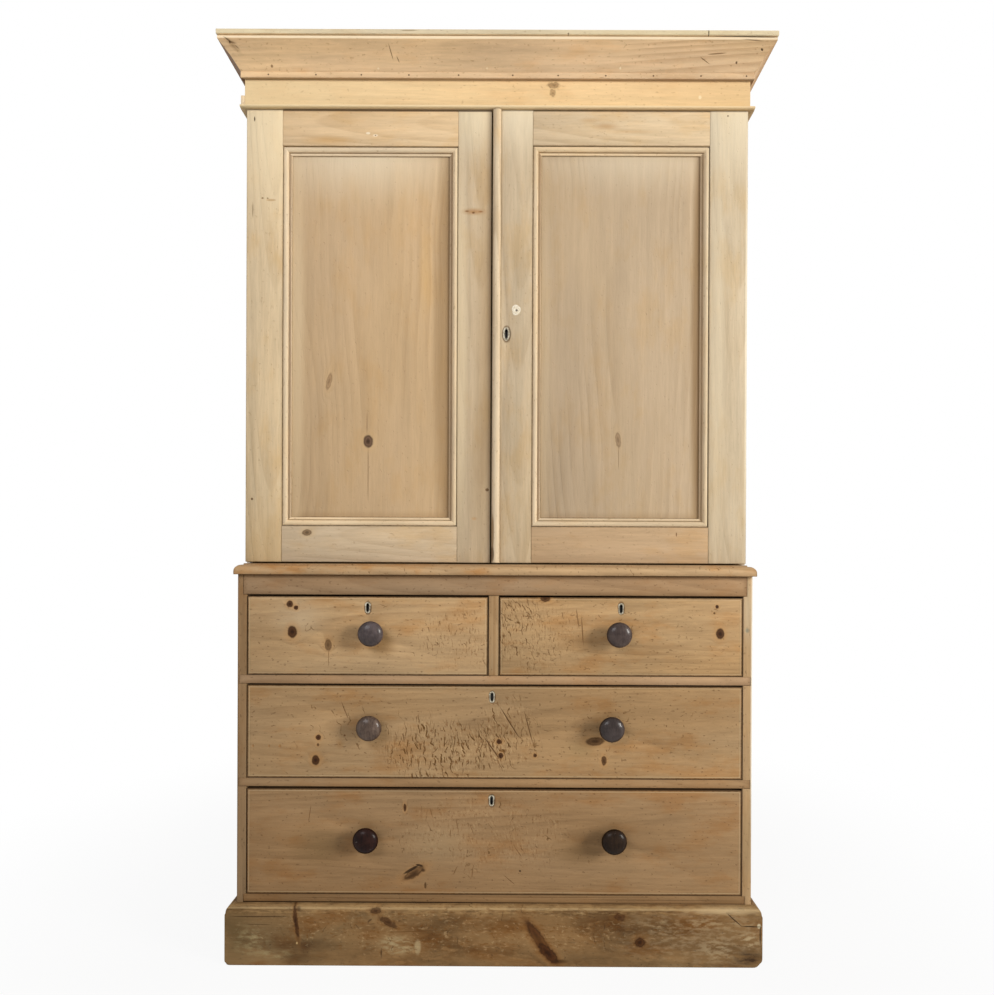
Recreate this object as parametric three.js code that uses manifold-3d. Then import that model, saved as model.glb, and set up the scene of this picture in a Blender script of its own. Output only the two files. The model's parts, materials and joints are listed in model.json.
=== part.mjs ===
// Two-part linen press in stripped pine: a cupboard with two panelled doors and a moulded
// cornice, standing on a chest of two short and two long drawers with a mitred plinth.
// Millimetres, Z up. The front looks along -Y, and the origin is on the floor in the middle.
import * as THREE from "three";
import { mergeVertices } from "three/addons/utils/BufferGeometryUtils.js";
import Module from "manifold-3d";

const wasm = await Module();
wasm.setup();

// Clearances
const seatGap = 0.3;
const overrun = 2;
const weldDepth = 1;

// Chest carcase
const chestWidth = 1183;
const chestDepth = 540;
const chestSideThickness = 20;
const chestSideRise = 6;
const chestBottomThickness = 20;
const chestBottomReveal = 18.5;
const chestBackThickness = 12;
const chestBackRebate = 9;
const housingDepth = 6;

// Drawer openings, from the floor of the chest upwards
const lowerOpeningHeight = 248;
const upperOpeningHeight = 217.5;
const shortOpeningHeight = 185.5;
const railThickness = 19.5;
const railDepth = 70;
const railLap = 17;
const topRailHeight = 46;
const topRailThickness = 22;
const topRailTenon = 8;
const dividerWidth = 23;
const dividerShift = -3;
const guideHeight = 16;
const bearerWidth = 66;
const runnerWidth = 18;
const runnerHeight = 18;
const stopWidth = 44;
const stopDepth = 24;
const stopHeight = 6;

// Plinth
const plinthHeight = 134.5;
const plinthThickness = 20;
const plinthMouldHeight = 20;
const plinthMouldReach = 12;
const plinthFillet = 3;

// Waist board between the chest and the cupboard
const waistThickness = 25;
const waistOverhang = 11;
const waistEndOverhang = 7;
const waistNoseRadius = 14;
const waistFillet = 3;

// Drawers
const frontThickness = 20;
const frontSetBack = 1;
const frontSideGap = 2;
const frontFloorGap = 1.2;
const lowerHeadGap = 4.8;
const upperHeadGap = 3.3;
const shortHeadGap = 4;
const boxRearGap = 27;
const boxSideThickness = 11;
const boxBackThickness = 10;
const boxBottomThickness = 7;
const boxBottomRise = 10;
const boxSideDrop = 8;
const boxBackDrop = 20;
const dovetailLap = 13;
const fewestTails = 2;
const dovetailPitch = 52;
const dovetailRootHalf = 11;
const dovetailFlare = 2.4;

// Turned drawer knobs
const knobRadius = 29;
const knobReach = 38;
const knobRimThickness = 9;
const knobDome = 10;
const knobNeckRadius = 13;
const knobBaseRadius = 18;
const knobBaseThickness = 5;
const knobSpigotRadius = 8;
const knobSpigotTail = 4;
const shortKnobRise = 7;
const shortLeftKnobShift = 11;
const shortRightKnobShift = -7;
const upperKnobRise = 13;
const upperKnobSpread = 552;
const lowerKnobRise = 11;
const lowerKnobSpread = 565;
const longKnobShift = -9;

// Locks, with a keyhole liner that shows at the face
const keyholeRadius = 3.3;
const keyholeSlotHalf = 2.2;
const keyholeSpan = 13.5;
const drawerKeyDrop = 26;
const drawerKeyShift = -6;
const linerWall = 1.6;
const linerFlangeDepth = 2.5;
const linerProud = 0.4;
const drawerFlangeWall = 3.5;
const drawerLockWidth = 62;
const drawerLockDrop = 24;
const drawerLockThickness = 9;
const doorFlangeHalfWidth = 8;
const doorFlangeHalfHeight = 16.5;
const doorLockWidth = 54;
const doorLockHeight = 66;
const doorLockThickness = 10.5;
const doorLockBackset = 33;
const doorKeyHeight = 532;
const keyholeBlindDepth = 4;
const selvedgeThickness = 1.6;
const selvedgeHeight = 84;
const selvedgeWidth = 14;
const boltLength = 32;
const boltHeight = 10;
const boltThickness = 4;
const boltRise = 17;
const boltClearance = 0.25;
const boltShyness = 0.4;
const boltThrow = 12;
const boltMortiseClearance = 0.8;

// Cupboard carcase
const cupboardInset = 4.5;
const cupboardSetBack = 18;
const cupboardSideThickness = 20;
const cupboardBoardThickness = 18;
const cupboardBackThickness = 12;
const cupboardBackRebate = 9;
const shelfCount = 2;
const shelfSetBack = 14;
const backBoardCount = 8;
const backGroove = 4;

// Doors
const doorHeight = 1050.4;
const doorThickness = 22;
const doorFloorGap = 3.3;
const doorHeadGap = 0.8;
const doorJointGap = 1;
const doorHeadLap = 16;
const hingeAxisInset = 1;
const doorEdgeInset = 4;
const meetingLine = -11.5;
const meetingGap = 3;
const leftHingeStile = 84;
const leftMeetingStile = 77;
const rightHingeStile = 88;
const rightMeetingStile = 93;
const topRailWidthLeft = 84;
const topRailWidthRight = 81;
const bottomRailWidth = 84.5;
const tenonLength = 42;
const tenonThickness = 8;
const tenonShoulder = 14;
const panelThickness = 8;
const panelSetBack = 9;
const grooveDepth = 10;
const panelPlay = 1.5;
const panelMouldWidth = 20;
const panelMouldBand = 13;
const panelMouldRise = 8;
const panelMouldStep = 3;
const panelMouldQuirk = 1.5;
const meetingBeadWidth = 20;
const meetingBeadReach = 9;

// Butt hinges
const hingeHeight = 76;
const hingeEndDistance = 150;
const hingeKnuckles = 5;
const hingeKnuckleRadius = 3.5;
const hingePinRadius = 1.5;
const hingeBoreRadius = 1.65;
const hingeLeafThickness = 2;
const hingeLeafWidth = 16;
const hingeKnuckleGap = 0.4;

// Cornice
const friezeHeight = 68.4;
const neckBeadHeight = 8.4;
const neckBeadReach = 9;
const leftBattenHeight = 32;
const crownHeight = 69;
const crownReach = 48;
const crownFilletHeight = 12;
const crownFilletReach = 7;
const crownSlopeHeight = 47.5;
const crownBandHeight = 7.5;
const crownBandSetBack = 2.5;
const crownQuirkSetBack = 4.5;
const crownCoveDepth = 1.5;
const corniceTopThickness = 14;

// Shares of the sizes that they follow
const keyholeFootShare = 0.72;
const stopPlaceShares = [0.22, 0.78];

// Facets
const knobSides = 20;
const ovalSides = 16;
const hingeSides = 10;
const arcSteps = 5;

// Heights and planes that follow from the sizes above
const chestFrontY = (knobReach - frontSetBack - chestDepth) / 2;
const chestFloorZ = plinthHeight + chestBottomReveal;
const lowerRailZ = chestFloorZ + lowerOpeningHeight;
const upperOpeningZ = lowerRailZ + railThickness;
const upperRailZ = upperOpeningZ + upperOpeningHeight;
const shortOpeningZ = upperRailZ + railThickness;
const topRailZ = shortOpeningZ + shortOpeningHeight;
const chestTopZ = topRailZ + topRailHeight;
const waistZ = chestTopZ + seatGap;
const cupboardZ = waistZ + waistThickness;
const chestInner = chestWidth / 2 - chestSideThickness;
const cupboardDepth = chestDepth - cupboardSetBack;
const boxDepth = chestDepth - chestBackThickness - frontSetBack - boxRearGap;
const cupboardHalf = chestWidth / 2 - cupboardInset;
const cupboardInner = cupboardHalf - cupboardSideThickness;
const cupboardFrontY = doorThickness + doorJointGap;
const doorTopZ = doorFloorGap + doorHeight;
const friezeZ = doorTopZ + doorHeadGap;
const crownZ = friezeZ + friezeHeight;
const corniceTopZ = crownZ + crownHeight;
const cupboardFloorZ = seatGap + cupboardBoardThickness;
const cupboardCeilingZ = doorTopZ - doorHeadLap;
const hingeAxisX = cupboardHalf - hingeAxisInset;
const hingeAxisY = doorThickness + doorJointGap / 2;
const hingeHeights = [hingeEndDistance, doorHeight - hingeEndDistance - hingeHeight];

// Wood, metal and stained knobs
const finishes = {
  doorPine: new THREE.MeshStandardMaterial({ color: 0xcdb48c, roughness: 0.62, metalness: 0 }),
  drawerPine: new THREE.MeshStandardMaterial({ color: 0xb49164, roughness: 0.6, metalness: 0 }),
  plinthPine: new THREE.MeshStandardMaterial({ color: 0x96734b, roughness: 0.64, metalness: 0 }),
  innerPine: new THREE.MeshStandardMaterial({ color: 0xb08f63, roughness: 0.75, metalness: 0 }),
  stainedWood: new THREE.MeshStandardMaterial({ color: 0x4a3d3a, roughness: 0.35, metalness: 0 }),
  brass: new THREE.MeshStandardMaterial({ color: 0xb5a98a, roughness: 0.4, metalness: 0.9 }),
  iron: new THREE.MeshStandardMaterial({ color: 0x55504a, roughness: 0.5, metalness: 0.9 }),
};

// Closed three.js geometry to a solid, and back to a geometry for a mesh
function solid(geometry) {
  const bare = geometry.clone();
  bare.deleteAttribute("normal");
  bare.deleteAttribute("uv");
  const merged = mergeVertices(bare);
  const vertProperties = new Float32Array(merged.attributes.position.array);
  const triVerts = new Uint32Array(merged.index.array);
  return new wasm.Manifold(new wasm.Mesh({ numProp: 3, vertProperties, triVerts }));
}

function geometryOf(body) {
  const { vertProperties, triVerts } = body.getMesh();
  const geometry = new THREE.BufferGeometry();
  geometry.setAttribute("position", new THREE.BufferAttribute(new Float32Array(vertProperties), 3));
  geometry.setIndex(new THREE.BufferAttribute(new Uint32Array(triVerts), 1));
  const faceted = geometry.toNonIndexed();
  faceted.computeVertexNormals();
  return faceted;
}

function joined(...bodies) {
  return bodies.reduce((sum, body) => sum.add(body));
}

function cut(body, ...tools) {
  return tools.reduce((rest, tool) => rest.subtract(tool), body);
}

// Basic solids in the frame of the piece that uses them
function block(x0, x1, y0, y1, z0, z1) {
  const geometry = new THREE.BoxGeometry(Math.abs(x1 - x0), Math.abs(y1 - y0), Math.abs(z1 - z0));
  geometry.translate((x0 + x1) / 2, (y0 + y1) / 2, (z0 + z1) / 2);
  return solid(geometry);
}

function extrusion(points, depth, basis, offset) {
  const shape = new THREE.Shape(points.map(([a, b]) => new THREE.Vector2(a, b)));
  const geometry = new THREE.ExtrudeGeometry(shape, { depth, bevelEnabled: false });
  const placed = new THREE.Matrix4().makeBasis(...basis).setPosition(offset);
  return solid(geometry.applyMatrix4(placed));
}

const axisX = new THREE.Vector3(1, 0, 0);
const axisY = new THREE.Vector3(0, 1, 0);
const axisZ = new THREE.Vector3(0, 0, 1);

// Points are [y, z] pairs
function alongX(points, x0, x1) {
  const start = new THREE.Vector3(Math.min(x0, x1), 0, 0);
  return extrusion(points, Math.abs(x1 - x0), [axisY, axisZ, axisX], start);
}

// Points are [x, z] pairs
function alongY(points, y0, y1) {
  const start = new THREE.Vector3(0, Math.max(y0, y1), 0);
  return extrusion(points, Math.abs(y1 - y0), [axisX, axisZ, axisY.clone().negate()], start);
}

// Points are [x, y] pairs
function alongZ(points, z0, z1) {
  const start = new THREE.Vector3(0, 0, Math.min(z0, z1));
  return extrusion(points, Math.abs(z1 - z0), [axisX, axisY, axisZ], start);
}

function arc(centreA, centreB, radiusA, radiusB, fromAngle, toAngle, steps) {
  return Array.from({ length: steps + 1 }, (_, step) => {
    const angle = fromAngle + ((toAngle - fromAngle) * step) / steps;
    return [centreA + radiusA * Math.cos(angle), centreB + radiusB * Math.sin(angle)];
  });
}

function oval(centreA, centreB, radiusA, radiusB, sides) {
  return arc(centreA, centreB, radiusA, radiusB, 0, 2 * Math.PI, sides).slice(0, sides);
}

// Moulding run along a path on the floor plane, mitred at each corner. The profile holds
// [out, up] pairs, and out is to the right of the way that the path goes.
function mitredRun(profile, path, closed) {
  const corners = path.map(([x, y]) => new THREE.Vector2(x, y));
  const rightOf = (from, to) => {
    const way = to.clone().sub(from).normalize();
    return new THREE.Vector2(way.y, -way.x);
  };
  const count = corners.length;
  const rings = corners.map((corner, index) => {
    const before = closed || index > 0 ? corners[(index + count - 1) % count] : null;
    const after = closed || index < count - 1 ? corners[(index + 1) % count] : null;
    const sideIn = before ? rightOf(before, corner) : rightOf(corner, after);
    const sideOut = after ? rightOf(corner, after) : sideIn;
    const mitre = sideIn.clone().add(sideOut).divideScalar(1 + sideIn.dot(sideOut));
    return profile.map(([out, up]) => [corner.x + mitre.x * out, corner.y + mitre.y * out, up]);
  });
  const points = profile.length;
  const faces = [];
  const runs = closed ? count : count - 1;
  for (let run = 0; run < runs; run += 1) {
    for (let point = 0; point < points; point += 1) {
      const a = run * points + point;
      const b = run * points + ((point + 1) % points);
      const c = ((run + 1) % count) * points + point;
      const d = ((run + 1) % count) * points + ((point + 1) % points);
      faces.push([a, b, c], [b, d, c]);
    }
  }
  if (!closed) {
    const outline = profile.map(([out, up]) => new THREE.Vector2(out, up));
    const last = (count - 1) * points;
    for (const [a, b, c] of THREE.ShapeUtils.triangulateShape(outline, [])) {
      faces.push([a, c, b], [last + a, last + b, last + c]);
    }
  }
  return solid(facingOut(rings.flat(), faces));
}

// Indexed geometry whose faces all point out, whichever way the profile was drawn
function facingOut(vertices, faces) {
  const volume = faces.reduce((sum, [a, b, c]) => {
    const [p, q, r] = [a, b, c].map((index) => new THREE.Vector3(...vertices[index]));
    return sum + p.dot(q.cross(r));
  }, 0);
  const ordered = volume < 0 ? faces.map(([a, b, c]) => [a, c, b]) : faces;
  const geometry = new THREE.BufferGeometry();
  geometry.setAttribute("position", new THREE.Float32BufferAttribute(vertices.flat(), 3));
  geometry.setIndex(ordered.flat());
  return geometry;
}

function piece(name, body, material, place = [0, 0, 0]) {
  const geometry = body.isBufferGeometry ? body : geometryOf(body);
  const mesh = new THREE.Mesh(geometry, material);
  mesh.name = name;
  mesh.position.set(...place);
  return mesh;
}

// Chest carcase, in a frame with y = 0 on the chest's front and z = 0 on the floor

function chestSide(side) {
  const outer = (side * chestWidth) / 2;
  const inner = side * chestInner;
  const housed = (depth) => inner + side * (depth + seatGap);
  const board = block(outer, inner, 0, chestDepth, chestSideRise, chestTopZ);
  const floorHousing = block(
    inner - side * overrun, housed(housingDepth), -overrun, chestDepth + overrun,
    chestFloorZ - chestBottomThickness - seatGap, chestFloorZ + seatGap,
  );
  const railHousings = [lowerRailZ, upperRailZ].map((z) => block(
    inner - side * overrun, housed(railLap), -overrun, railDepth + seatGap,
    z - seatGap, z + railThickness + seatGap,
  ));
  const tenonHousing = block(
    inner - side * overrun, housed(topRailTenon), -overrun, topRailThickness + seatGap,
    topRailZ - seatGap, chestTopZ + overrun,
  );
  const backRebate = block(
    inner - side * overrun, housed(chestBackRebate),
    chestDepth - chestBackThickness - seatGap, chestDepth + overrun,
    chestFloorZ, chestTopZ + overrun,
  );
  const runners = [upperOpeningZ, shortOpeningZ].map((z) => block(
    inner + side * weldDepth, inner - side * runnerWidth,
    railDepth + seatGap, chestDepth - chestBackThickness - seatGap, z - runnerHeight, z,
  ));
  return joined(cut(board, floorHousing, ...railHousings, tenonHousing, backRebate), ...runners);
}

// Blocks behind a drawer's front, which stop it flush; they stand on the board under the drawer
function drawerStops(left, right, z) {
  const start = frontSetBack + frontThickness + seatGap;
  return stopPlaceShares.map((share) => {
    const middle = left + (right - left) * share;
    return block(
      middle - stopWidth / 2, middle + stopWidth / 2, start, start + stopDepth,
      z - weldDepth, z + stopHeight,
    );
  });
}

function chestBottom() {
  const reach = chestInner + housingDepth;
  const board = block(-reach, reach, 0, chestDepth, chestFloorZ - chestBottomThickness, chestFloorZ);
  return joined(board, ...drawerStops(-chestInner, chestInner, chestFloorZ));
}

function drawerRail(z) {
  const reach = chestInner + railLap;
  return block(-reach, reach, 0, railDepth, z, z + railThickness);
}

function lowerRail() {
  return joined(drawerRail(lowerRailZ), ...drawerStops(-chestInner, chestInner, upperOpeningZ));
}

// The upper rail also carries the bearer between the two short drawers
function upperRail() {
  const bearer = block(
    dividerShift - bearerWidth / 2, dividerShift + bearerWidth / 2,
    railDepth - weldDepth, chestDepth - chestBackThickness - seatGap,
    shortOpeningZ - runnerHeight, shortOpeningZ,
  );
  return joined(
    drawerRail(upperRailZ),
    bearer,
    ...drawerStops(-chestInner, dividerShift - dividerWidth / 2, shortOpeningZ),
    ...drawerStops(dividerShift + dividerWidth / 2, chestInner, shortOpeningZ),
  );
}

function drawerDivider() {
  const left = dividerShift - dividerWidth / 2;
  const right = dividerShift + dividerWidth / 2;
  const post = block(left, right, 0, railDepth, shortOpeningZ + seatGap, topRailZ - seatGap);
  const guide = block(
    left, right, railDepth - weldDepth, chestDepth - chestBackThickness - seatGap,
    shortOpeningZ + seatGap, shortOpeningZ + guideHeight,
  );
  return joined(post, guide);
}

function topRail() {
  const reach = chestInner + topRailTenon;
  return block(-reach, reach, 0, topRailThickness, topRailZ, chestTopZ);
}

function chestBack() {
  const reach = chestInner + chestBackRebate;
  return groovedBack(
    reach, chestDepth - chestBackThickness, chestDepth, chestFloorZ + seatGap, chestTopZ, true,
  );
}

// Matchboard back with V grooves between its boards, run across or up
function groovedBack(reach, y0, y1, z0, z1, across) {
  const board = block(-reach, reach, y0, y1, z0, z1);
  const low = across ? z0 : -reach;
  const span = across ? z1 - z0 : 2 * reach;
  const grooves = Array.from({ length: backBoardCount - 1 }, (_, index) => {
    const middle = low + (span * (index + 1)) / backBoardCount;
    if (across) {
      const vee = [[y0 - overrun, middle - backGroove], [y0 - overrun, middle + backGroove],
        [y0 + backGroove / 2, middle]];
      return alongX(vee, -reach - overrun, reach + overrun);
    }
    const vee = [[middle - backGroove, y0 - overrun], [middle + backGroove, y0 - overrun],
      [middle, y0 + backGroove / 2]];
    return alongZ(vee, z0 - overrun, z1 + overrun);
  });
  return cut(board, ...grooves);
}

// Plinth boards planted round the foot of the carcase, mitred at the front corners
function plinth() {
  const inner = seatGap;
  const outer = plinthThickness;
  const profile = [
    [inner, 0],
    [outer, 0],
    [outer, plinthHeight - plinthMouldHeight - plinthFillet],
    [outer - plinthFillet / 2, plinthHeight - plinthMouldHeight],
    ...arc(outer - plinthMouldReach - plinthFillet / 2, plinthHeight - plinthMouldHeight,
      plinthMouldReach, plinthMouldHeight, 0, Math.PI / 2, arcSteps),
    [inner, plinthHeight],
  ];
  const half = chestWidth / 2;
  return mitredRun(profile, [[-half, chestDepth], [-half, 0], [half, 0], [half, chestDepth]], false);
}

// Board with a quarter-round nose along the front and both ends
function waistBoard() {
  const front = -waistOverhang;
  const nose = (edge, inward) => [
    ...arc(edge + inward * waistNoseRadius, waistThickness - waistFillet - waistNoseRadius,
      -inward * waistNoseRadius, waistNoseRadius, 0, Math.PI / 2, arcSteps),
  ];
  const shoulder = waistNoseRadius + waistFillet;
  const fromFront = [
    [front, 0],
    ...nose(front, 1),
    [front + shoulder, waistThickness - waistFillet],
    [front + shoulder, waistThickness],
    [chestDepth, waistThickness],
    [chestDepth, 0],
  ];
  const end = chestWidth / 2 + waistEndOverhang;
  const fromEnds = [
    [-end, 0],
    ...nose(-end, 1),
    [shoulder - end, waistThickness - waistFillet],
    [shoulder - end, waistThickness],
    [end - shoulder, waistThickness],
    [end - shoulder, waistThickness - waistFillet],
    ...nose(end, -1).reverse(),
    [end, 0],
  ];
  const long = alongX(fromFront, -end, end);
  return long.intersect(alongY(fromEnds, front - overrun, chestDepth + overrun));
}

// Drawers, in a frame with x = 0 in the middle of the front, y = 0 on its face and z = 0 at its foot

function tailHeights(sideHeight) {
  const count = Math.max(fewestTails, Math.round(sideHeight / dovetailPitch));
  return Array.from({ length: count }, (_, index) => (sideHeight * (2 * index + 1)) / (2 * count));
}

function tail(middle, grow) {
  const root = dovetailRootHalf + grow;
  const tip = root + dovetailFlare;
  const mouth = frontThickness + weldDepth;
  const end = frontThickness - dovetailLap - grow;
  return [[mouth, middle - root], [mouth, middle + root], [end, middle + tip], [end, middle - tip]];
}

function drawerFront(width, height, knobPlaces, keyX) {
  const half = width / 2;
  const sideHeight = height - boxSideDrop;
  const board = block(-half, half, 0, frontThickness, 0, height);
  const sockets = tailHeights(sideHeight).flatMap((middle) => [-1, 1].map((side) => alongX(
    tail(middle, seatGap), side * (half + overrun), side * (half - boxSideThickness - seatGap),
  )));
  const knobHoles = knobPlaces.map(([x, z]) => alongY(
    oval(x, z, knobSpigotRadius + seatGap, knobSpigotRadius + seatGap, knobSides),
    -overrun, frontThickness + overrun,
  ));
  const lockRoom = drawerLock(seatGap, overrun, false).translate([keyX, 0, height - drawerKeyDrop]);
  return cut(board, ...sockets, ...knobHoles, lockRoom);
}

function drawerBox(width, height) {
  const half = width / 2;
  const sideHeight = height - boxSideDrop;
  const inner = half - boxSideThickness;
  const start = frontThickness + seatGap;
  const sides = [-1, 1].map((side) => joined(
    block(side * half, side * inner, start, boxDepth, 0, sideHeight),
    ...tailHeights(sideHeight).map((middle) => alongX(tail(middle, 0), side * half, side * inner)),
  ));
  const back = block(
    -inner - weldDepth, inner + weldDepth, boxDepth - boxBackThickness, boxDepth,
    boxBottomRise, sideHeight - boxBackDrop,
  );
  const bottom = block(
    -inner - weldDepth, inner + weldDepth, start, boxDepth,
    boxBottomRise, boxBottomRise + boxBottomThickness,
  );
  return joined(...sides, back, bottom);
}

function keyhole(y0, y1, wall = 0) {
  const middle = keyholeSpan / 2;
  const bow = keyholeRadius + wall;
  const foot = keyholeRadius * keyholeFootShare + wall;
  const slot = keyholeSlotHalf + wall;
  return joined(
    alongY(oval(0, middle, bow, bow, ovalSides), y0, y1),
    block(-slot, slot, y0, y1, -middle, middle),
    alongY(oval(0, -middle, foot, foot, ovalSides), y0, y1),
  );
}

function ovalPlate(y0, y1, grow) {
  return alongY(
    oval(0, 0, doorFlangeHalfWidth + grow, doorFlangeHalfHeight + grow, ovalSides), y0, y1,
  );
}

function keyholePlate(y0, y1, grow) {
  return keyhole(y0, y1, drawerFlangeWall + grow);
}

// Liner through the wood, with a plate for its flange let in flush with the face
function keyholeLiner(faceToBody, plate, grow) {
  return joined(
    keyhole(0, faceToBody + weldDepth, linerWall + grow),
    plate(-linerProud - grow, linerFlangeDepth + grow, grow),
  );
}

// Till lock let into the back of a drawer front; grow and extra make the room for it in the wood
function drawerLock(grow, extra, bored = true) {
  const half = drawerLockWidth / 2 + grow;
  const bodyStart = frontThickness - drawerLockThickness;
  const body = block(
    -half, half, bodyStart - grow, frontThickness + extra, -drawerLockDrop - grow, drawerKeyDrop + extra,
  );
  const liner = keyholeLiner(bodyStart, keyholePlate, grow);
  const lock = joined(body, liner);
  return bored ? cut(lock, keyhole(-overrun, bodyStart + keyholeBlindDepth)) : lock;
}

// Turned mushroom knob: the profile runs from the tail of the spigot to the crown of the face
function knob() {
  const neck = knobBaseThickness;
  const rim = knobReach - knobDome - knobRimThickness;
  const widest = rim + knobRimThickness / 2;
  const points = [
    [0, -frontThickness - knobSpigotTail],
    [knobSpigotRadius, -frontThickness - knobSpigotTail],
    [knobSpigotRadius, seatGap],
    [knobBaseRadius, seatGap],
    [knobBaseRadius, neck],
    [knobNeckRadius, neck + (knobBaseRadius - knobNeckRadius) / 2],
    [knobNeckRadius, (neck + rim) / 2],
    ...arc(knobNeckRadius, widest, knobRadius - knobNeckRadius, widest - rim, -Math.PI / 2, 0, arcSteps),
    ...arc(0, widest, knobRadius, knobReach - widest, 0, Math.PI / 2, arcSteps).slice(1, -1),
    [0, knobReach],
  ];
  return new THREE.LatheGeometry(points.map(([r, y]) => new THREE.Vector2(r, y)), knobSides);
}

// Cupboard carcase, in a frame with y = 0 on the faces of the doors and z = 0 on the waist board

function shelfHeights() {
  const clearHeight = cupboardCeilingZ - cupboardFloorZ - shelfCount * cupboardBoardThickness;
  const bay = clearHeight / (shelfCount + 1);
  return Array.from({ length: shelfCount }, (_, index) => (
    cupboardFloorZ + bay * (index + 1) + cupboardBoardThickness * index
  ));
}

function cupboardSide(side) {
  const outer = side * cupboardHalf;
  const inner = side * cupboardInner;
  const topZ = corniceTopZ - seatGap;
  const board = block(outer, inner, cupboardFrontY, cupboardDepth, seatGap, topZ);
  const housings = [seatGap, ...shelfHeights(), cupboardCeilingZ].map((z) => block(
    inner - side * overrun, inner + side * (housingDepth + seatGap), -overrun,
    cupboardDepth + overrun, z - seatGap, z + cupboardBoardThickness + seatGap,
  ));
  const backRebate = block(
    inner - side * overrun, inner + side * (cupboardBackRebate + seatGap),
    cupboardDepth - cupboardBackThickness - seatGap, cupboardDepth + overrun, 0, corniceTopZ,
  );
  const hingeRooms = hingeHeights.map((height) => (
    hingeRoom(-side, 1).translate([side * hingeAxisX, hingeAxisY, doorFloorGap + height])
  ));
  const neckHeight = side < 0 ? leftBattenHeight : neckBeadHeight;
  const neckZ = [friezeZ, friezeZ + neckHeight];
  const neckEnd = outer + side * neckBeadReach;
  const neck = joined(
    block(outer + side * seatGap, neckEnd, seatGap, cupboardDepth, ...neckZ),
    block(outer - side * weldDepth, neckEnd, cupboardFrontY, cupboardDepth, ...neckZ),
  );
  return joined(cut(board, ...housings, backRebate, ...hingeRooms), neck);
}

function cupboardBoard(z, setBack) {
  const reach = cupboardInner + housingDepth;
  const back = cupboardDepth - cupboardBackThickness - seatGap;
  return block(-reach, reach, cupboardFrontY + setBack, back, z, z + cupboardBoardThickness);
}

function cupboardBack() {
  const reach = cupboardInner + cupboardBackRebate;
  const y0 = cupboardDepth - cupboardBackThickness;
  return groovedBack(reach, y0, cupboardDepth, seatGap, corniceTopZ - seatGap, false);
}

// Frieze board with the neck bead planted along its foot
function frieze() {
  const board = block(
    -cupboardHalf, cupboardHalf, 0, cupboardFrontY - seatGap, friezeZ, corniceTopZ - seatGap,
  );
  const middle = friezeZ + neckBeadHeight / 2;
  const section = arc(
    0, middle, neckBeadReach, neckBeadHeight / 2, -Math.PI / 2, -1.5 * Math.PI, 2 * arcSteps,
  );
  const weld = block(
    -cupboardHalf, cupboardHalf, -weldDepth, weldDepth,
    friezeZ + weldDepth, friezeZ + neckBeadHeight - weldDepth,
  );
  const reach = cupboardHalf + neckBeadReach;
  return joined(board, weld, alongX(section, -reach, reach));
}

// Crown moulding mitred round three sides, under a square-edged top board
function cornice() {
  const slopeStart = [crownFilletReach, crownFilletHeight];
  const slopeEnd = [crownReach - crownBandSetBack, crownFilletHeight + crownSlopeHeight];
  const slope = Array.from({ length: arcSteps + 1 }, (_, step) => {
    const along = step / arcSteps;
    const sag = 4 * crownCoveDepth * along * (1 - along);
    const [out, up] = slopeStart.map((start, axis) => start + (slopeEnd[axis] - start) * along);
    return [out - sag * Math.SQRT1_2, up + sag * Math.SQRT1_2];
  });
  const bandTop = slopeEnd[1] + crownBandHeight;
  const profile = [
    [seatGap, 0],
    [crownFilletReach, 0],
    ...slope,
    [slopeEnd[0], bandTop],
    [crownReach - crownQuirkSetBack, bandTop],
    [crownReach - crownQuirkSetBack, crownHeight + weldDepth],
    [seatGap, crownHeight + weldDepth],
  ];
  const half = cupboardHalf;
  const path = [[-half, cupboardDepth], [-half, 0], [half, 0], [half, cupboardDepth]];
  const reach = half + crownReach;
  const topBoard = block(
    -reach, reach, -crownReach, cupboardDepth, crownHeight, crownHeight + corniceTopThickness,
  );
  return joined(mitredRun(profile, path, false), topBoard);
}

// Butt hinges, in a frame on the pin: turn is the way along X in which the leaves lie,
// and layer is 1 for the leaf on the carcase and -1 for the leaf on the door

function hingeRod(radius, z0, z1) {
  return alongZ(oval(0, 0, radius, radius, hingeSides), z0, z1);
}

function hingeRoom(turn, layer) {
  const near = (layer * doorJointGap) / 2;
  const plate = block(
    0, turn * (hingeLeafWidth + seatGap), near - layer * overrun,
    near + layer * (hingeLeafThickness + seatGap), -seatGap, hingeHeight + seatGap,
  );
  const reach = hingeKnuckleRadius + seatGap;
  const knuckles = block(
    -turn * (hingeAxisInset + overrun), turn * reach, near - layer * overrun, layer * reach,
    -seatGap, hingeHeight + seatGap,
  );
  return joined(plate, knuckles);
}

function hingeLeaf(turn, layer) {
  const near = (layer * doorJointGap) / 2;
  const far = near + layer * hingeLeafThickness;
  const pitch = hingeHeight / hingeKnuckles;
  const isOwn = (index) => (index % 2 === 0) === (layer > 0);
  const spans = Array.from({ length: hingeKnuckles }, (_, index) => [index * pitch, (index + 1) * pitch]);
  const own = spans.filter((_, index) => isOwn(index));
  const others = spans.filter((_, index) => !isOwn(index));
  const plate = cut(
    block(0, turn * hingeLeafWidth, near, far, 0, hingeHeight),
    ...others.map(([low, high]) => hingeRod(
      hingeKnuckleRadius + seatGap, low - hingeKnuckleGap / 2, high + hingeKnuckleGap / 2,
    )),
  );
  const barrels = own.map(([low, high]) => hingeRod(
    hingeKnuckleRadius, low + hingeKnuckleGap / 2, high - hingeKnuckleGap / 2,
  ));
  const leaf = joined(plate, ...barrels);
  if (layer > 0) return joined(leaf, hingeRod(hingePinRadius, 0, hingeHeight));
  return cut(leaf, hingeRod(hingeBoreRadius, -overrun, hingeHeight + overrun));
}

// Doors, in a frame on the hinge axis with z = 0 at the foot of the door: u runs from the
// hinge towards the meeting edge, and turn says which way along X that is

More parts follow.
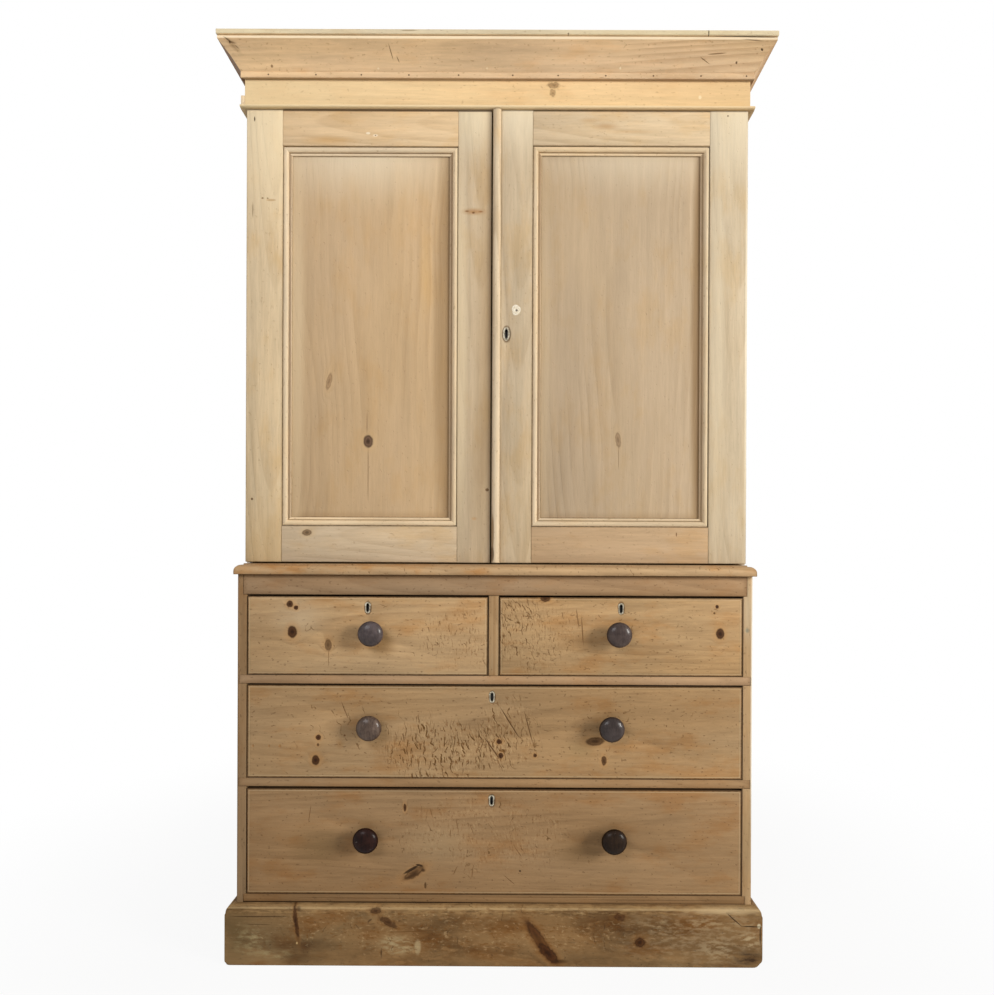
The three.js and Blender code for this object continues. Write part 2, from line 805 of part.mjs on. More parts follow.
const doorBackY = -doorJointGap / 2;
const doorFaceY = doorBackY - doorThickness;
const panelFaceY = doorFaceY + panelSetBack;

const leftDoor = {
  name: "left_door",
  turn: 1,
  end: hingeAxisX + meetingLine - meetingGap / 2,
  hingeStile: leftHingeStile,
  meetingStile: leftMeetingStile,
  topRail: topRailWidthLeft,
};
const rightDoor = {
  name: "right_door",
  turn: -1,
  end: hingeAxisX - meetingLine - meetingGap / 2,
  hingeStile: rightHingeStile,
  meetingStile: rightMeetingStile,
  topRail: topRailWidthRight,
};

function doorOpening(door) {
  return {
    u0: doorEdgeInset + door.hingeStile,
    u1: door.end - door.meetingStile,
    z0: bottomRailWidth,
    z1: doorHeight - door.topRail,
  };
}

function panelSpace(door, play) {
  const { u0, u1, z0, z1 } = doorOpening(door);
  const deep = grooveDepth - play;
  return block(
    door.turn * (u0 - deep), door.turn * (u1 + deep),
    panelFaceY - (play ? 0 : seatGap), panelFaceY + panelThickness + (play ? 0 : seatGap),
    z0 - deep, z1 + deep,
  );
}

// Rail with its two tenons; grow makes the mortises that take them
function railBlank(door, z0, z1, grow) {
  const { u0, u1 } = doorOpening(door);
  const tenonMiddle = (doorFaceY + doorBackY) / 2;
  const shoulder = seatGap - grow;
  const body = block(
    door.turn * (u0 + shoulder), door.turn * (u1 - shoulder), doorFaceY, doorBackY, z0, z1,
  );
  const tenons = block(
    door.turn * (u0 - tenonLength - grow), door.turn * (u1 + tenonLength + grow),
    tenonMiddle - tenonThickness / 2 - grow, tenonMiddle + tenonThickness / 2 + grow,
    z0 + tenonShoulder - grow, z1 - tenonShoulder + grow,
  );
  return { body, tenons };
}

function railSpans(door) {
  return [[0, bottomRailWidth], [doorHeight - door.topRail, doorHeight]];
}

function doorRail(door, [z0, z1]) {
  const { body, tenons } = railBlank(door, z0, z1, 0);
  return cut(joined(body, tenons), panelSpace(door, 0));
}

function doorStile(door, u0, u1) {
  const stile = block(door.turn * u0, door.turn * u1, doorFaceY, doorBackY, 0, doorHeight);
  const mortises = railSpans(door).map(([z0, z1]) => railBlank(door, z0, z1, seatGap).tenons);
  return cut(stile, panelSpace(door, 0), ...mortises);
}

function hingeStile(door) {
  const rooms = hingeHeights.map((height) => (
    hingeRoom(door.turn, -1).translate([0, 0, height])
  ));
  return cut(doorStile(door, doorEdgeInset, doorEdgeInset + door.hingeStile), ...rooms);
}

function leftMeetingStileBody() {
  const depth = boltThrow - meetingGap - boltShyness + 2 * boltMortiseClearance;
  const halfHeight = boltHeight / 2 + boltMortiseClearance;
  const halfThickness = boltThickness / 2 + boltMortiseClearance;
  const middleY = doorBackY - doorLockThickness / 2;
  const middleZ = doorKeyHeight + boltRise;
  const mortise = block(
    leftDoor.end - depth, leftDoor.end + overrun, middleY - halfThickness, middleY + halfThickness,
    middleZ - halfHeight, middleZ + halfHeight,
  );
  return cut(doorStile(leftDoor, leftDoor.end - leftMeetingStile, leftDoor.end), mortise);
}

function rightMeetingStileBody() {
  const room = doorLock(seatGap, overrun, false).translate(doorLockPlace());
  return cut(doorStile(rightDoor, rightDoor.end - rightMeetingStile, rightDoor.end), room);
}

// Mitred moulding planted on the panel inside the frame, drawn flat and stood up by its mesh
function panelMoulding(door) {
  const { u0, u1, z0, z1 } = doorOpening(door);
  const [x0, x1] = [door.turn * u0, door.turn * u1].sort((a, b) => a - b);
  const bandMiddle = (panelMouldBand + seatGap) / 2;
  const stepStart = panelMouldBand + panelMouldQuirk;
  const profile = [
    [seatGap, 0],
    ...arc(bandMiddle, panelMouldStep, bandMiddle - seatGap, panelMouldRise - panelMouldStep,
      Math.PI, 0, 2 * arcSteps),
    [panelMouldBand, panelMouldStep - panelMouldQuirk],
    [stepStart, panelMouldStep - panelMouldQuirk],
    [stepStart, panelMouldStep],
    [panelMouldWidth - panelMouldQuirk, panelMouldStep],
    [panelMouldWidth, panelMouldStep - panelMouldQuirk],
    [panelMouldWidth, 0],
  ];
  return mitredRun(profile, [[x0, z0], [x0, z1], [x1, z1], [x1, z0]], true);
}

function meetingBead() {
  const middle = rightDoor.turn * (rightDoor.end - meetingBeadWidth / 2);
  const back = doorFaceY - seatGap;
  const section = arc(
    middle, back, meetingBeadWidth / 2, meetingBeadReach, -Math.PI, 0, 2 * arcSteps,
  );
  return alongZ(section, 0, doorHeight);
}

// Cut lock in the meeting stile of the right door, in a frame on the keyhole at the door's face

function doorLockPlace() {
  return [rightDoor.turn * (rightDoor.end - doorLockBackset), doorFaceY, doorKeyHeight];
}

function doorLock(grow, extra, bored = true) {
  const edge = -doorLockBackset;
  const bodyStart = doorThickness - doorLockThickness;
  const body = block(
    edge - extra, edge + doorLockWidth + grow, bodyStart - grow, doorThickness + extra,
    -doorLockHeight / 2 - grow, doorLockHeight / 2 + grow,
  );
  const selvedge = block(
    edge - extra, edge + selvedgeThickness + grow, doorThickness - selvedgeWidth - grow,
    doorThickness + extra, -selvedgeHeight / 2 - grow, selvedgeHeight / 2 + grow,
  );
  const liner = keyholeLiner(bodyStart, ovalPlate, grow);
  const lock = joined(body, selvedge, liner);
  if (!bored) return lock;
  const boltWay = doorLockBolt(boltClearance, overrun);
  return cut(lock, keyhole(-overrun, bodyStart + keyholeBlindDepth), boltWay);
}

function doorLockBolt(grow, extra) {
  const middleY = doorThickness - doorLockThickness / 2;
  const edge = boltShyness - doorLockBackset;
  return block(
    edge - extra, edge + boltLength + grow,
    middleY - boltThickness / 2 - grow, middleY + boltThickness / 2 + grow,
    boltRise - boltHeight / 2 - grow, boltRise + boltHeight / 2 + grow,
  );
}

// Assembly

function buildChest() {
  const chest = new THREE.Group();
  chest.position.set(0, chestFrontY, 0);
  chest.add(
    piece("plinth", plinth(), finishes.plinthPine),
    piece("chest_left_side", chestSide(-1), finishes.drawerPine),
    piece("chest_right_side", chestSide(1), finishes.drawerPine),
    piece("chest_bottom", chestBottom(), finishes.drawerPine),
    piece("lower_drawer_rail", lowerRail(), finishes.drawerPine),
    piece("upper_drawer_rail", upperRail(), finishes.drawerPine),
    piece("drawer_divider", drawerDivider(), finishes.drawerPine),
    piece("chest_top_rail", topRail(), finishes.drawerPine),
    piece("chest_back", chestBack(), finishes.innerPine),
    piece("waist_board", waistBoard(), finishes.drawerPine, [0, 0, waistZ]),
  );
  return chest;
}

function drawerPlans() {
  const dividerLeft = dividerShift - dividerWidth / 2;
  const dividerRight = dividerShift + dividerWidth / 2;
  const shortHeight = shortOpeningHeight - frontFloorGap - shortHeadGap;
  const longWidth = 2 * (chestInner - frontSideGap);
  const longKnobs = (spread, rise) => [["left", -spread / 2], ["right", spread / 2]].map(
    ([place, x]) => ({ place, x: x + longKnobShift, rise }),
  );
  return [
    {
      name: "short_left_drawer",
      x: (dividerLeft - chestInner) / 2,
      z: shortOpeningZ,
      width: dividerLeft + chestInner - 2 * frontSideGap,
      height: shortHeight,
      knobs: [{ place: "", x: shortLeftKnobShift, rise: shortKnobRise }],
      keyX: 0,
    },
    {
      name: "short_right_drawer",
      x: (dividerRight + chestInner) / 2,
      z: shortOpeningZ,
      width: chestInner - dividerRight - 2 * frontSideGap,
      height: shortHeight,
      knobs: [{ place: "", x: shortRightKnobShift, rise: shortKnobRise }],
      keyX: 0,
    },
    {
      name: "upper_long_drawer",
      x: 0,
      z: upperOpeningZ,
      width: longWidth,
      height: upperOpeningHeight - frontFloorGap - upperHeadGap,
      knobs: longKnobs(upperKnobSpread, upperKnobRise),
      keyX: drawerKeyShift,
    },
    {
      name: "lower_long_drawer",
      x: 0,
      z: chestFloorZ,
      width: longWidth,
      height: lowerOpeningHeight - frontFloorGap - lowerHeadGap,
      knobs: longKnobs(lowerKnobSpread, lowerKnobRise),
      keyX: drawerKeyShift,
    },
  ];
}

function buildDrawer(plan) {
  const { name, width, height, knobs, keyX } = plan;
  const drawer = new THREE.Group();
  drawer.position.set(plan.x, chestFrontY + frontSetBack, plan.z + frontFloorGap);
  const places = knobs.map(({ x, rise }) => [x, height / 2 + rise]);
  drawer.add(
    piece(`${name}_front`, drawerFront(width, height, places, keyX), finishes.drawerPine),
    piece(`${name}_box`, drawerBox(width, height), finishes.innerPine),
    piece(`${name}_lock`, drawerLock(0, 0), finishes.brass, [keyX, 0, height - drawerKeyDrop]),
  );
  knobs.forEach(({ place }, index) => {
    const [x, z] = places[index];
    const turned = piece(`${name}_${place}_knob`.replace("__", "_"), knob(), finishes.stainedWood);
    turned.position.set(x, 0, z);
    turned.rotation.x = Math.PI;
    drawer.add(turned);
  });
  return drawer;
}

function buildDoor(door) {
  const { name, turn } = door;
  const hung = new THREE.Group();
  hung.position.set(-turn * hingeAxisX, hingeAxisY, doorFloorGap);
  const [bottomSpan, topSpan] = railSpans(door);
  const moulding = piece(`${name}_panel_moulding`, panelMoulding(door), finishes.doorPine);
  moulding.rotation.x = Math.PI / 2;
  moulding.position.set(0, panelFaceY - seatGap, 0);
  const meeting = turn > 0 ? leftMeetingStileBody() : rightMeetingStileBody();
  hung.add(
    piece(`${name}_hinge_stile`, hingeStile(door), finishes.doorPine),
    piece(`${name}_meeting_stile`, meeting, finishes.doorPine),
    piece(`${name}_bottom_rail`, doorRail(door, bottomSpan), finishes.doorPine),
    piece(`${name}_top_rail`, doorRail(door, topSpan), finishes.doorPine),
    piece(`${name}_panel`, panelSpace(door, panelPlay), finishes.doorPine),
    moulding,
  );
  hingeHeights.forEach((height, index) => {
    const place = index === 0 ? "lower" : "upper";
    hung.add(
      piece(`${name}_${place}_hinge_leaf`, hingeLeaf(turn, -1), finishes.brass, [0, 0, height]),
      piece(`${name}_${place}_case_leaf`, hingeLeaf(turn, 1), finishes.brass, [0, 0, height]),
    );
  });
  return hung;
}

function buildCupboard() {
  const cupboard = new THREE.Group();
  cupboard.position.set(0, chestFrontY + cupboardSetBack, cupboardZ);
  const right = buildDoor(rightDoor);
  right.add(
    piece("right_door_meeting_bead", meetingBead(), finishes.doorPine),
    piece("door_lock", doorLock(0, 0), finishes.brass, doorLockPlace()),
    piece("door_lock_bolt", doorLockBolt(0, 0), finishes.brass, doorLockPlace()),
  );
  cupboard.add(
    piece("cupboard_left_side", cupboardSide(-1), finishes.doorPine),
    piece("cupboard_right_side", cupboardSide(1), finishes.doorPine),
    piece("cupboard_floor", cupboardBoard(seatGap, 0), finishes.innerPine),
    piece("cupboard_ceiling", cupboardBoard(cupboardCeilingZ, 0), finishes.innerPine),
    ...shelfHeights().map((z, index) => piece(
      `shelf_${index + 1}`, cupboardBoard(z, shelfSetBack), finishes.innerPine,
    )),
    piece("cupboard_back", cupboardBack(), finishes.innerPine),
    piece("frieze", frieze(), finishes.doorPine),
    piece("cornice", cornice(), finishes.doorPine, [0, 0, crownZ]),
    buildDoor(leftDoor),
    right,
  );
  return cupboard;
}

const linenPress = new THREE.Group();
linenPress.add(buildChest(), ...drawerPlans().map(buildDrawer), buildCupboard());

export default linenPress;
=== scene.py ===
import json
import math

import bpy
from mathutils import Matrix, Vector


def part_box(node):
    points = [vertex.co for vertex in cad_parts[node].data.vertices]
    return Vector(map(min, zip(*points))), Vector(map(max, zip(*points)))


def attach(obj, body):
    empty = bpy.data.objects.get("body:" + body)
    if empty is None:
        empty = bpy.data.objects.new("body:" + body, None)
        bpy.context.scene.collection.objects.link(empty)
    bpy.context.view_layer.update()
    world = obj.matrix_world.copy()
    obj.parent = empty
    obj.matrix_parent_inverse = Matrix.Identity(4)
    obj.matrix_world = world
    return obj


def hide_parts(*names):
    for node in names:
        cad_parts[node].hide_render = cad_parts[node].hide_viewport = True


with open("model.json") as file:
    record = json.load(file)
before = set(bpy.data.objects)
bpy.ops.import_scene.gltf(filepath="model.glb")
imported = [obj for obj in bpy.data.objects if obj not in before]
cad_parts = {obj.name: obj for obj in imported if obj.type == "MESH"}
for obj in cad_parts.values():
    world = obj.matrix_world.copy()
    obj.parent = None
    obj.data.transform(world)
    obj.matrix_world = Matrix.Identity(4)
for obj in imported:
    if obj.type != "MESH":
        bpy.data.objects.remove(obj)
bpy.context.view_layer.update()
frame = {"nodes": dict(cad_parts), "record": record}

bpy.ops.object.select_all(action="DESELECT")

axisX, axisY, axisZ = Vector((1, 0, 0)), Vector((0, 1, 0)), Vector((0, 0, 1))
nodes = frame["nodes"]
bodyOf = {node: body for body, members in frame["record"]["behaviour"]["bodies"].items() for node in members}


# Camera, floor and light

camera = {
    "place": (0.0358, -1.8335, 0.9542),
    "pitch": -0.132, "yaw": 0.072, "roll": 0.26,
    "lens": 24.9, "shiftX": -0.01307, "shiftY": 0.0515,
}

studio = {
    "floorSize": 16.0, "floorColour": "dedcd8", "floorGlow": 0.925, "shadowReach": (0.7, 1.9),
    "backdropColour": "ffffff", "ambientColour": "f3f4f6", "ambientStrength": 0.22,
    "lamps": [
        {"name": "window_right", "place": (7.9, -4.45, 3.2), "aim": (0.0, -0.25, 1.4),
         "size": (2.6, 3.4), "power": 738, "colour": "fffcf6"},
        {"name": "window_left", "place": (-1.8, -3.1, 3.0), "aim": (0.0, -0.25, 1.5),
         "size": (1.8, 1.6), "power": 54, "colour": "fdfcff"},
    ],
}


def linear(colour, light=1.0):  # "cdb48c" as the linear red, green, blue and alpha that Blender wants
    shares = [int(colour[start:start + 2], 16) / 255 for start in (0, 2, 4)]
    lit = [light * (c / 12.92 if c <= 0.04045 else ((c + 0.055) / 1.055) ** 2.4) for c in shares]
    return (*lit, 1.0)


def aimed(place, aim):
    turn = (Vector(aim) - Vector(place)).to_track_quat("-Z", "Y")
    return Matrix.Translation(place) @ turn.to_matrix().to_4x4()


def makeCamera(view):
    lens = bpy.data.cameras.new("camera")
    lens.lens, lens.shift_x, lens.shift_y = view["lens"], view["shiftX"], view["shiftY"]
    eye = bpy.data.objects.new("camera", lens)
    bpy.context.scene.collection.objects.link(eye)
    level = math.radians(90)
    eye.matrix_world = (
        Matrix.Translation(view["place"])
        @ Matrix.Rotation(math.radians(view["yaw"]), 4, "Z")
        @ Matrix.Rotation(level + math.radians(view["pitch"]), 4, "X")
        @ Matrix.Rotation(math.radians(view["roll"]), 4, "Z")
    )
    bpy.context.scene.camera = eye


def makeLamps(lamps):
    for lamp in lamps:
        light = bpy.data.lights.new(lamp["name"], "AREA")
        light.shape, light.size, light.size_y = "RECTANGLE", *lamp["size"]
        light.energy, light.color = lamp["power"], linear(lamp["colour"])[:3]
        holder = bpy.data.objects.new(lamp["name"], light)
        bpy.context.scene.collection.objects.link(holder)
        holder.matrix_world = aimed(lamp["place"], lamp["aim"])


# Shader maths

class Wire:  # a socket of a material; Python's operators add the Math nodes
    def __init__(self, paint, socket):
        self.paint, self.socket = paint, socket

    def sum(self, operation, first, second):
        return self.paint.node("ShaderNodeMath", {"operation": operation}, {0: first, 1: second})

    def __add__(self, other):
        return self.sum("ADD", self, other)

    def __radd__(self, other):
        return self.sum("ADD", other, self)

    def __sub__(self, other):
        return self.sum("SUBTRACT", self, other)

    def __rsub__(self, other):
        return self.sum("SUBTRACT", other, self)

    def __mul__(self, other):
        return self.sum("MULTIPLY", self, other)

    def __rmul__(self, other):
        return self.sum("MULTIPLY", other, self)

    def __truediv__(self, other):
        return self.sum("DIVIDE", self, other)

    def __pow__(self, other):
        return self.sum("POWER", self, other)


class Paint:  # the nodes of one material
    def __init__(self, name, tree=None):
        if tree is None:
            self.material = bpy.data.materials.new(name)
            self.material.use_nodes = True
            tree = self.material.node_tree
        self.tree = tree
        self.tree.nodes.clear()

    def node(self, kind, settings=None, sockets=None, output=0):
        made = self.tree.nodes.new(kind)
        for key, value in (settings or {}).items():
            setattr(made, key, value)
        for key, value in (sockets or {}).items():
            if isinstance(value, Wire):
                self.tree.links.new(value.socket, made.inputs[key])
            else:
                made.inputs[key].default_value = value
        return Wire(self, made.outputs[output]) if len(made.outputs) else made

    def place(self):
        return self.node("ShaderNodeTexCoord", output="Object")

    def parts(self, vector):
        split = self.node("ShaderNodeSeparateXYZ", None, {0: vector}).socket.node
        return [Wire(self, output) for output in split.outputs]

    def vector(self, x, y, z):
        return self.node("ShaderNodeCombineXYZ", None, {0: x, 1: y, 2: z})

    def mix(self, share, first, second, kind="MIX"):
        settings = {"data_type": "RGBA", "blend_type": kind, "clamp_factor": True}
        return self.node("ShaderNodeMix", settings, {0: share, 6: first, 7: second}, output=2)

    def over(self, colour, share, tone, light=1.0):  # a share of a tone laid over a colour
        return self.mix(share, colour, linear(tone, light))

    def brighten(self, colour, value):
        return self.node("ShaderNodeHueSaturation", None, {"Value": value, "Color": colour})

    def noise(self, vector, scale=1.0, detail=2.0, rough=0.5, output=0):
        sockets = {"Vector": vector, "Scale": scale, "Detail": detail, "Roughness": rough}
        return self.node("ShaderNodeTexNoise", {"noise_dimensions": "3D"}, sockets, output)

    def smooth(self, value, start, end):  # 0 at start and 1 at end, whichever is the larger
        settings = {"interpolation_type": "SMOOTHSTEP", "clamp": True}
        return self.node("ShaderNodeMapRange", settings, {0: value, 1: start, 2: end})

    def smallest(self, first, second):
        return first.sum("MINIMUM", first, second)

    def largest(self, first, second):
        return first.sum("MAXIMUM", first, second)

    def size(self, value):
        return value.sum("ABSOLUTE", value, 0)

    def spot(self, vector, spot):  # distance from an oval spot on a face, 1 at its rim
        x, z = spot["at"]
        wide, high = spot["size"]
        sockets = {
            "Vector": vector, "Location": (x, 0, z),
            "Rotation": (0, math.radians(spot.get("turn", 0)), 0), "Scale": (wide, 1, high),
        }
        flat = self.node("ShaderNodeMapping", {"vector_type": "TEXTURE"}, sockets)
        level = self.node("ShaderNodeVectorMath", {"operation": "MULTIPLY"}, {0: flat, 1: (1, 0, 1)})
        return self.node("ShaderNodeVectorMath", {"operation": "LENGTH"}, {0: level}, output="Value")

    def finish(self, colour, roughness, height, bump, **constants):
        normal = self.node("ShaderNodeBump", None, {"Distance": bump, "Height": height})
        sockets = {"Base Color": colour, "Roughness": roughness, "Normal": normal}
        for name, value in constants.items():
            sockets[name.replace("_", " ")] = value
        surface = self.node("ShaderNodeBsdfPrincipled", None, sockets)
        self.node("ShaderNodeOutputMaterial", None, {"Surface": surface})
        return self.material


def makeWorld(look):
    world = bpy.data.worlds.new("studio")
    world.use_nodes = True
    bpy.context.scene.world = world
    paint = Paint("studio", world.node_tree)
    shown = seenDirectly(paint)
    ambient = paint.node("ShaderNodeBackground", None, {
        "Color": linear(look["ambientColour"]), "Strength": look["ambientStrength"]})
    backdrop = paint.node("ShaderNodeBackground", None, {
        "Color": linear(look["backdropColour"]), "Strength": 1.0})
    surface = paint.node("ShaderNodeMixShader", None, {0: shown, 1: ambient, 2: backdrop})
    paint.node("ShaderNodeOutputWorld", None, {"Surface": surface})


def seenDirectly(paint):
    rays = paint.node("ShaderNodeLightPath").socket.node
    names = ("Is Camera Ray", "Is Glossy Ray", "Is Transmission Ray")
    seen, glossy, through = [Wire(paint, rays.outputs[name]) for name in names]
    return paint.largest(paint.largest(seen, glossy), through)


def makeFloor(look):
    bpy.ops.mesh.primitive_plane_add(size=look["floorSize"])
    floor = bpy.context.object
    floor.name = "studio_floor"
    paint = Paint("studio_floor")
    plain = paint.node("ShaderNodeBsdfDiffuse", None, {"Color": linear(look["floorColour"])})
    white = paint.node("ShaderNodeEmission", None, {
        "Color": linear(look["backdropColour"]), "Strength": 1.0})
    x, y, _ = paint.parts(paint.place())
    away = (x * x + y * y) ** 0.5
    glow = paint.smooth(away, *look["shadowReach"]) * (1 - look["floorGlow"]) + look["floorGlow"]
    share = seenDirectly(paint) * glow
    surface = paint.node("ShaderNodeMixShader", None, {0: share, 1: plain, 2: white})
    paint.node("ShaderNodeOutputMaterial", None, {"Surface": surface})
    floor.data.materials.append(paint.material)


makeCamera(camera)
makeLamps(studio["lamps"])
makeWorld(studio)
makeFloor(studio)
print("stage: camera, floor, %d lamps" % len(studio["lamps"]))


# Pine: grain runs along the first letter of "grain", and its second letter is across the broad face

# The tones step darker from the top of the press down to the plinth: partly the wood's own colour, partly
# painted shade for light that falls off towards the floor.
pineTones = {
    "cornice": {"mean": "e3c79b", "cool": "dec6a4", "warm": "d3a66d", "dark": "94683a"},
    "top": {"mean": "f8e7be", "cool": "f3e2c0", "warm": "e6c490", "dark": "94683a"},
    "door": {"mean": "dfc7a3", "cool": "d8c6aa", "warm": "d6b27c", "dark": "9a7748"},
    "panel": {"mean": "dac09e", "cool": "d4bea4", "warm": "d2ae7c", "dark": "9b7a54"},
    "chest": {"mean": "c9a67a", "cool": "c5ab87", "warm": "bb8850", "dark": "62401f"},
    "plinth": {"mean": "a0815a", "cool": "a9916c", "warm": "895e30", "dark": "3a2513"},
    "inner": {"mean": "c19b69", "cool": "bd9d75", "warm": "b68652", "dark": "86623a"},
}

pineLook = {
    "sway": 0.05, "taper": 0.035, "ringSpacing": 0.0075, "ringShare": 0.2, "fibreShare": 0.26,
    "streakShare": 0.42, "coolShare": 0.6, "warmShare": 0.42, "cloudShare": 0.18, "fleckShare": 0.28,
    "grime": 0.3, "grimeReach": 0.012, "rim": 0.35, "rimReach": 0.0022, "rimColour": "3a2817",
    "stainShare": 0.0, "scuffShare": 0.0, "heartAcross": 0.02, "heartDepth": 0.09,
    "roughness": 0.52, "shine": 0.1, "bump": 0.00095,
}

grainNoise = {  # scale along the grain, scale across it, detail and roughness
    "sway": (1.6, 4.0, 1.5, 0.5), "faint": (2.4, 9.0, 2.0, 0.5), "fibre": (24.0, 230.0, 3.0, 0.6),
    "streak": (2.2, 52.0, 4.0, 0.6), "cloud": (3.0, 9.0, 4.0, 0.6), "cool": (1.5, 6.0, 3.0, 0.5),
    "mottle": (8.0, 17.0, 4.0, 0.62), "fleck": (120.0, 210.0, 1.0, 0.5), "stainAndPaintedLight": (4.5, 9.0, 5.0, 0.65),
    "scuff": (30.0, 75.0, 5.0, 0.68), "scuffed": (5.0, 12.0, 2.0, 0.5), "chips": (34.0, 170.0, 5.0, 0.68),
}

seedShift = (0.731, 0.277, 0.113)  # moves the grain on by the seed, so that no two boards are alike


def grainPlace(paint, place, order, seed):
    xyz = dict(zip("xyz", paint.parts(place)))
    return [xyz[letter] + seed * shift for letter, shift in zip(order, seedShift)]


knotLook = {
    "colour": "43230f", "darkest": "1c0d05", "halo": 0.34, "body": 0.92, "heart": 0.7, "rim": 0.5,
    "ragged": 0.0042, "raggedScale": 130, "ringReach": 3.2, "ringBow": 2.2,
}


def addKnot(paint, place, spot, colour, height, tones):
    ragged, soft = spot.get("ragged", knotLook["ragged"]), spot.get("soft", 0.0)
    wander = paint.noise(place, knotLook["raggedScale"], 3, output=1)
    shift = paint.node("ShaderNodeVectorMath", {"operation": "SCALE"}, {0: wander, "Scale": ragged})
    loose = paint.node("ShaderNodeVectorMath", {"operation": "ADD"}, {0: place, 1: shift})
    x, z = spot["at"]
    distance = paint.spot(loose, dict(spot, at=(x + ragged / 2, z + ragged / 2)))
    depth = spot.get("depth", 1.0)
    halo = paint.smooth(distance, 2.4, 0.9) * (knotLook["halo"] * depth)
    body = paint.smooth(distance, 1.25 + soft, 0.7 - soft * 0.5) * (knotLook["body"] * depth)
    heart = paint.smooth(distance, 0.75, 0.1) * (knotLook["heart"] * depth)
    rim = paint.smooth(paint.size(distance - 0.85), 0.26, 0.02) * (knotLook["rim"] * depth)
    colour = paint.over(colour, halo, spot.get("halo", tones["warm"]))
    colour = paint.over(colour, body, spot.get("colour", knotLook["colour"]))
    colour = paint.over(colour, paint.largest(rim, heart), knotLook["darkest"])
    return colour, height - rim * 0.6


frontDepth = 0.0016  # a mark on a front edge fades out this far behind it


def addMark(paint, place, mark, colour, height):
    distance = paint.spot(place, mark)
    share = paint.smooth(distance, 1.15, mark["edge"]) * mark["share"]
    if mark.get("patchy"):  # worn through in flakes that lie along the grain
        x, y, z = paint.parts(place)
        flakes = paint.noise(paint.vector(x * 45.0, y * 45.0, z * 130.0), 1.0, 4.0, 0.65)
        share = share * paint.smooth(flakes, 0.42, 0.64)
    if "front" in mark:  # on the board's front edge alone, not along its side
        share = share * paint.smooth(paint.parts(place)[1], mark["front"] + frontDepth, mark["front"])
    colour = paint.over(colour, share, mark["colour"])
    return colour, height - share * mark["sunk"]


def addGouges(paint, place, gouges, colour, height):
    # one stroke at most in each cell of a Voronoi pattern, inside an oval patch of the face
    wide, high = gouges["cell"]
    x, _, z = paint.parts(place)
    bend, wobble = paint.noise(place, 16, 1), paint.noise(place, 60, 1)
    across, up = x / wide + bend * 2.0 + wobble * 0.9, z / high + wobble * 0.8
    flat = paint.vector(across, up, 0)
    cells = paint.node("ShaderNodeTexVoronoi", {"voronoi_dimensions": "2D"}, {"Vector": flat, "Scale": 1.0})
    outputs = {name: Wire(paint, cells.socket.node.outputs[name]) for name in ("Color", "Position")}
    chance, lean, length = paint.parts(outputs["Color"])
    centreX, centreZ, _ = paint.parts(outputs["Position"])
    dx, dz = (across - centreX) * wide, (up - centreZ) * high
    slant = dx + dz * ((lean - gouges.get("lean", 0.35)) * gouges.get("leanSpread", 0.9))
    thin = paint.smooth(paint.size(slant) / (lean * 0.8 + 0.6), gouges["width"], gouges["width"] * 0.35)
    short = paint.smooth(paint.size(dz) / (length + 0.35), gouges["length"], gouges["length"] * 0.7)
    rare = paint.smooth(chance, gouges["share"], gouges["share"] - 0.05)
    patch = paint.smooth(paint.spot(place, gouges) + paint.noise(place, 22, 2) * 0.9, 1.5, 1.0)
    uneven = paint.smooth(paint.noise(place, 95, 2), 0.36, 0.56) * 0.65 + 0.35
    share = thin * short * rare * patch * uneven * gouges["strength"]
    tone = gouges.get("colour", "60401a")
    if "dents" not in gouges:
        return paint.over(colour, share, tone), height - share
    dents = gouges["dents"]
    warped = paint.vector(x / dents["wide"] + bend * 3.0 + z * dents["lean"], 0.0, z / dents["high"])
    rough = paint.noise(warped, 1.0, 2.0, 0.6)
    clump = paint.smooth(paint.noise(paint.vector(x * 30.0, 0.0, z * 42.0), 1.0, 2.0), 0.34, 0.54)
    dented = paint.smooth(rough, 0.56, 0.64) * clump * patch * dents["share"]
    raised = paint.smooth(rough, 0.44, 0.33) * clump * patch * (dents["share"] * 0.45)
    colour = paint.over(paint.over(colour, raised, "dcbd8d"), dented, "6e4519")
    return paint.over(colour, share, tone), height - share - dented * 0.6 + raised * 0.3


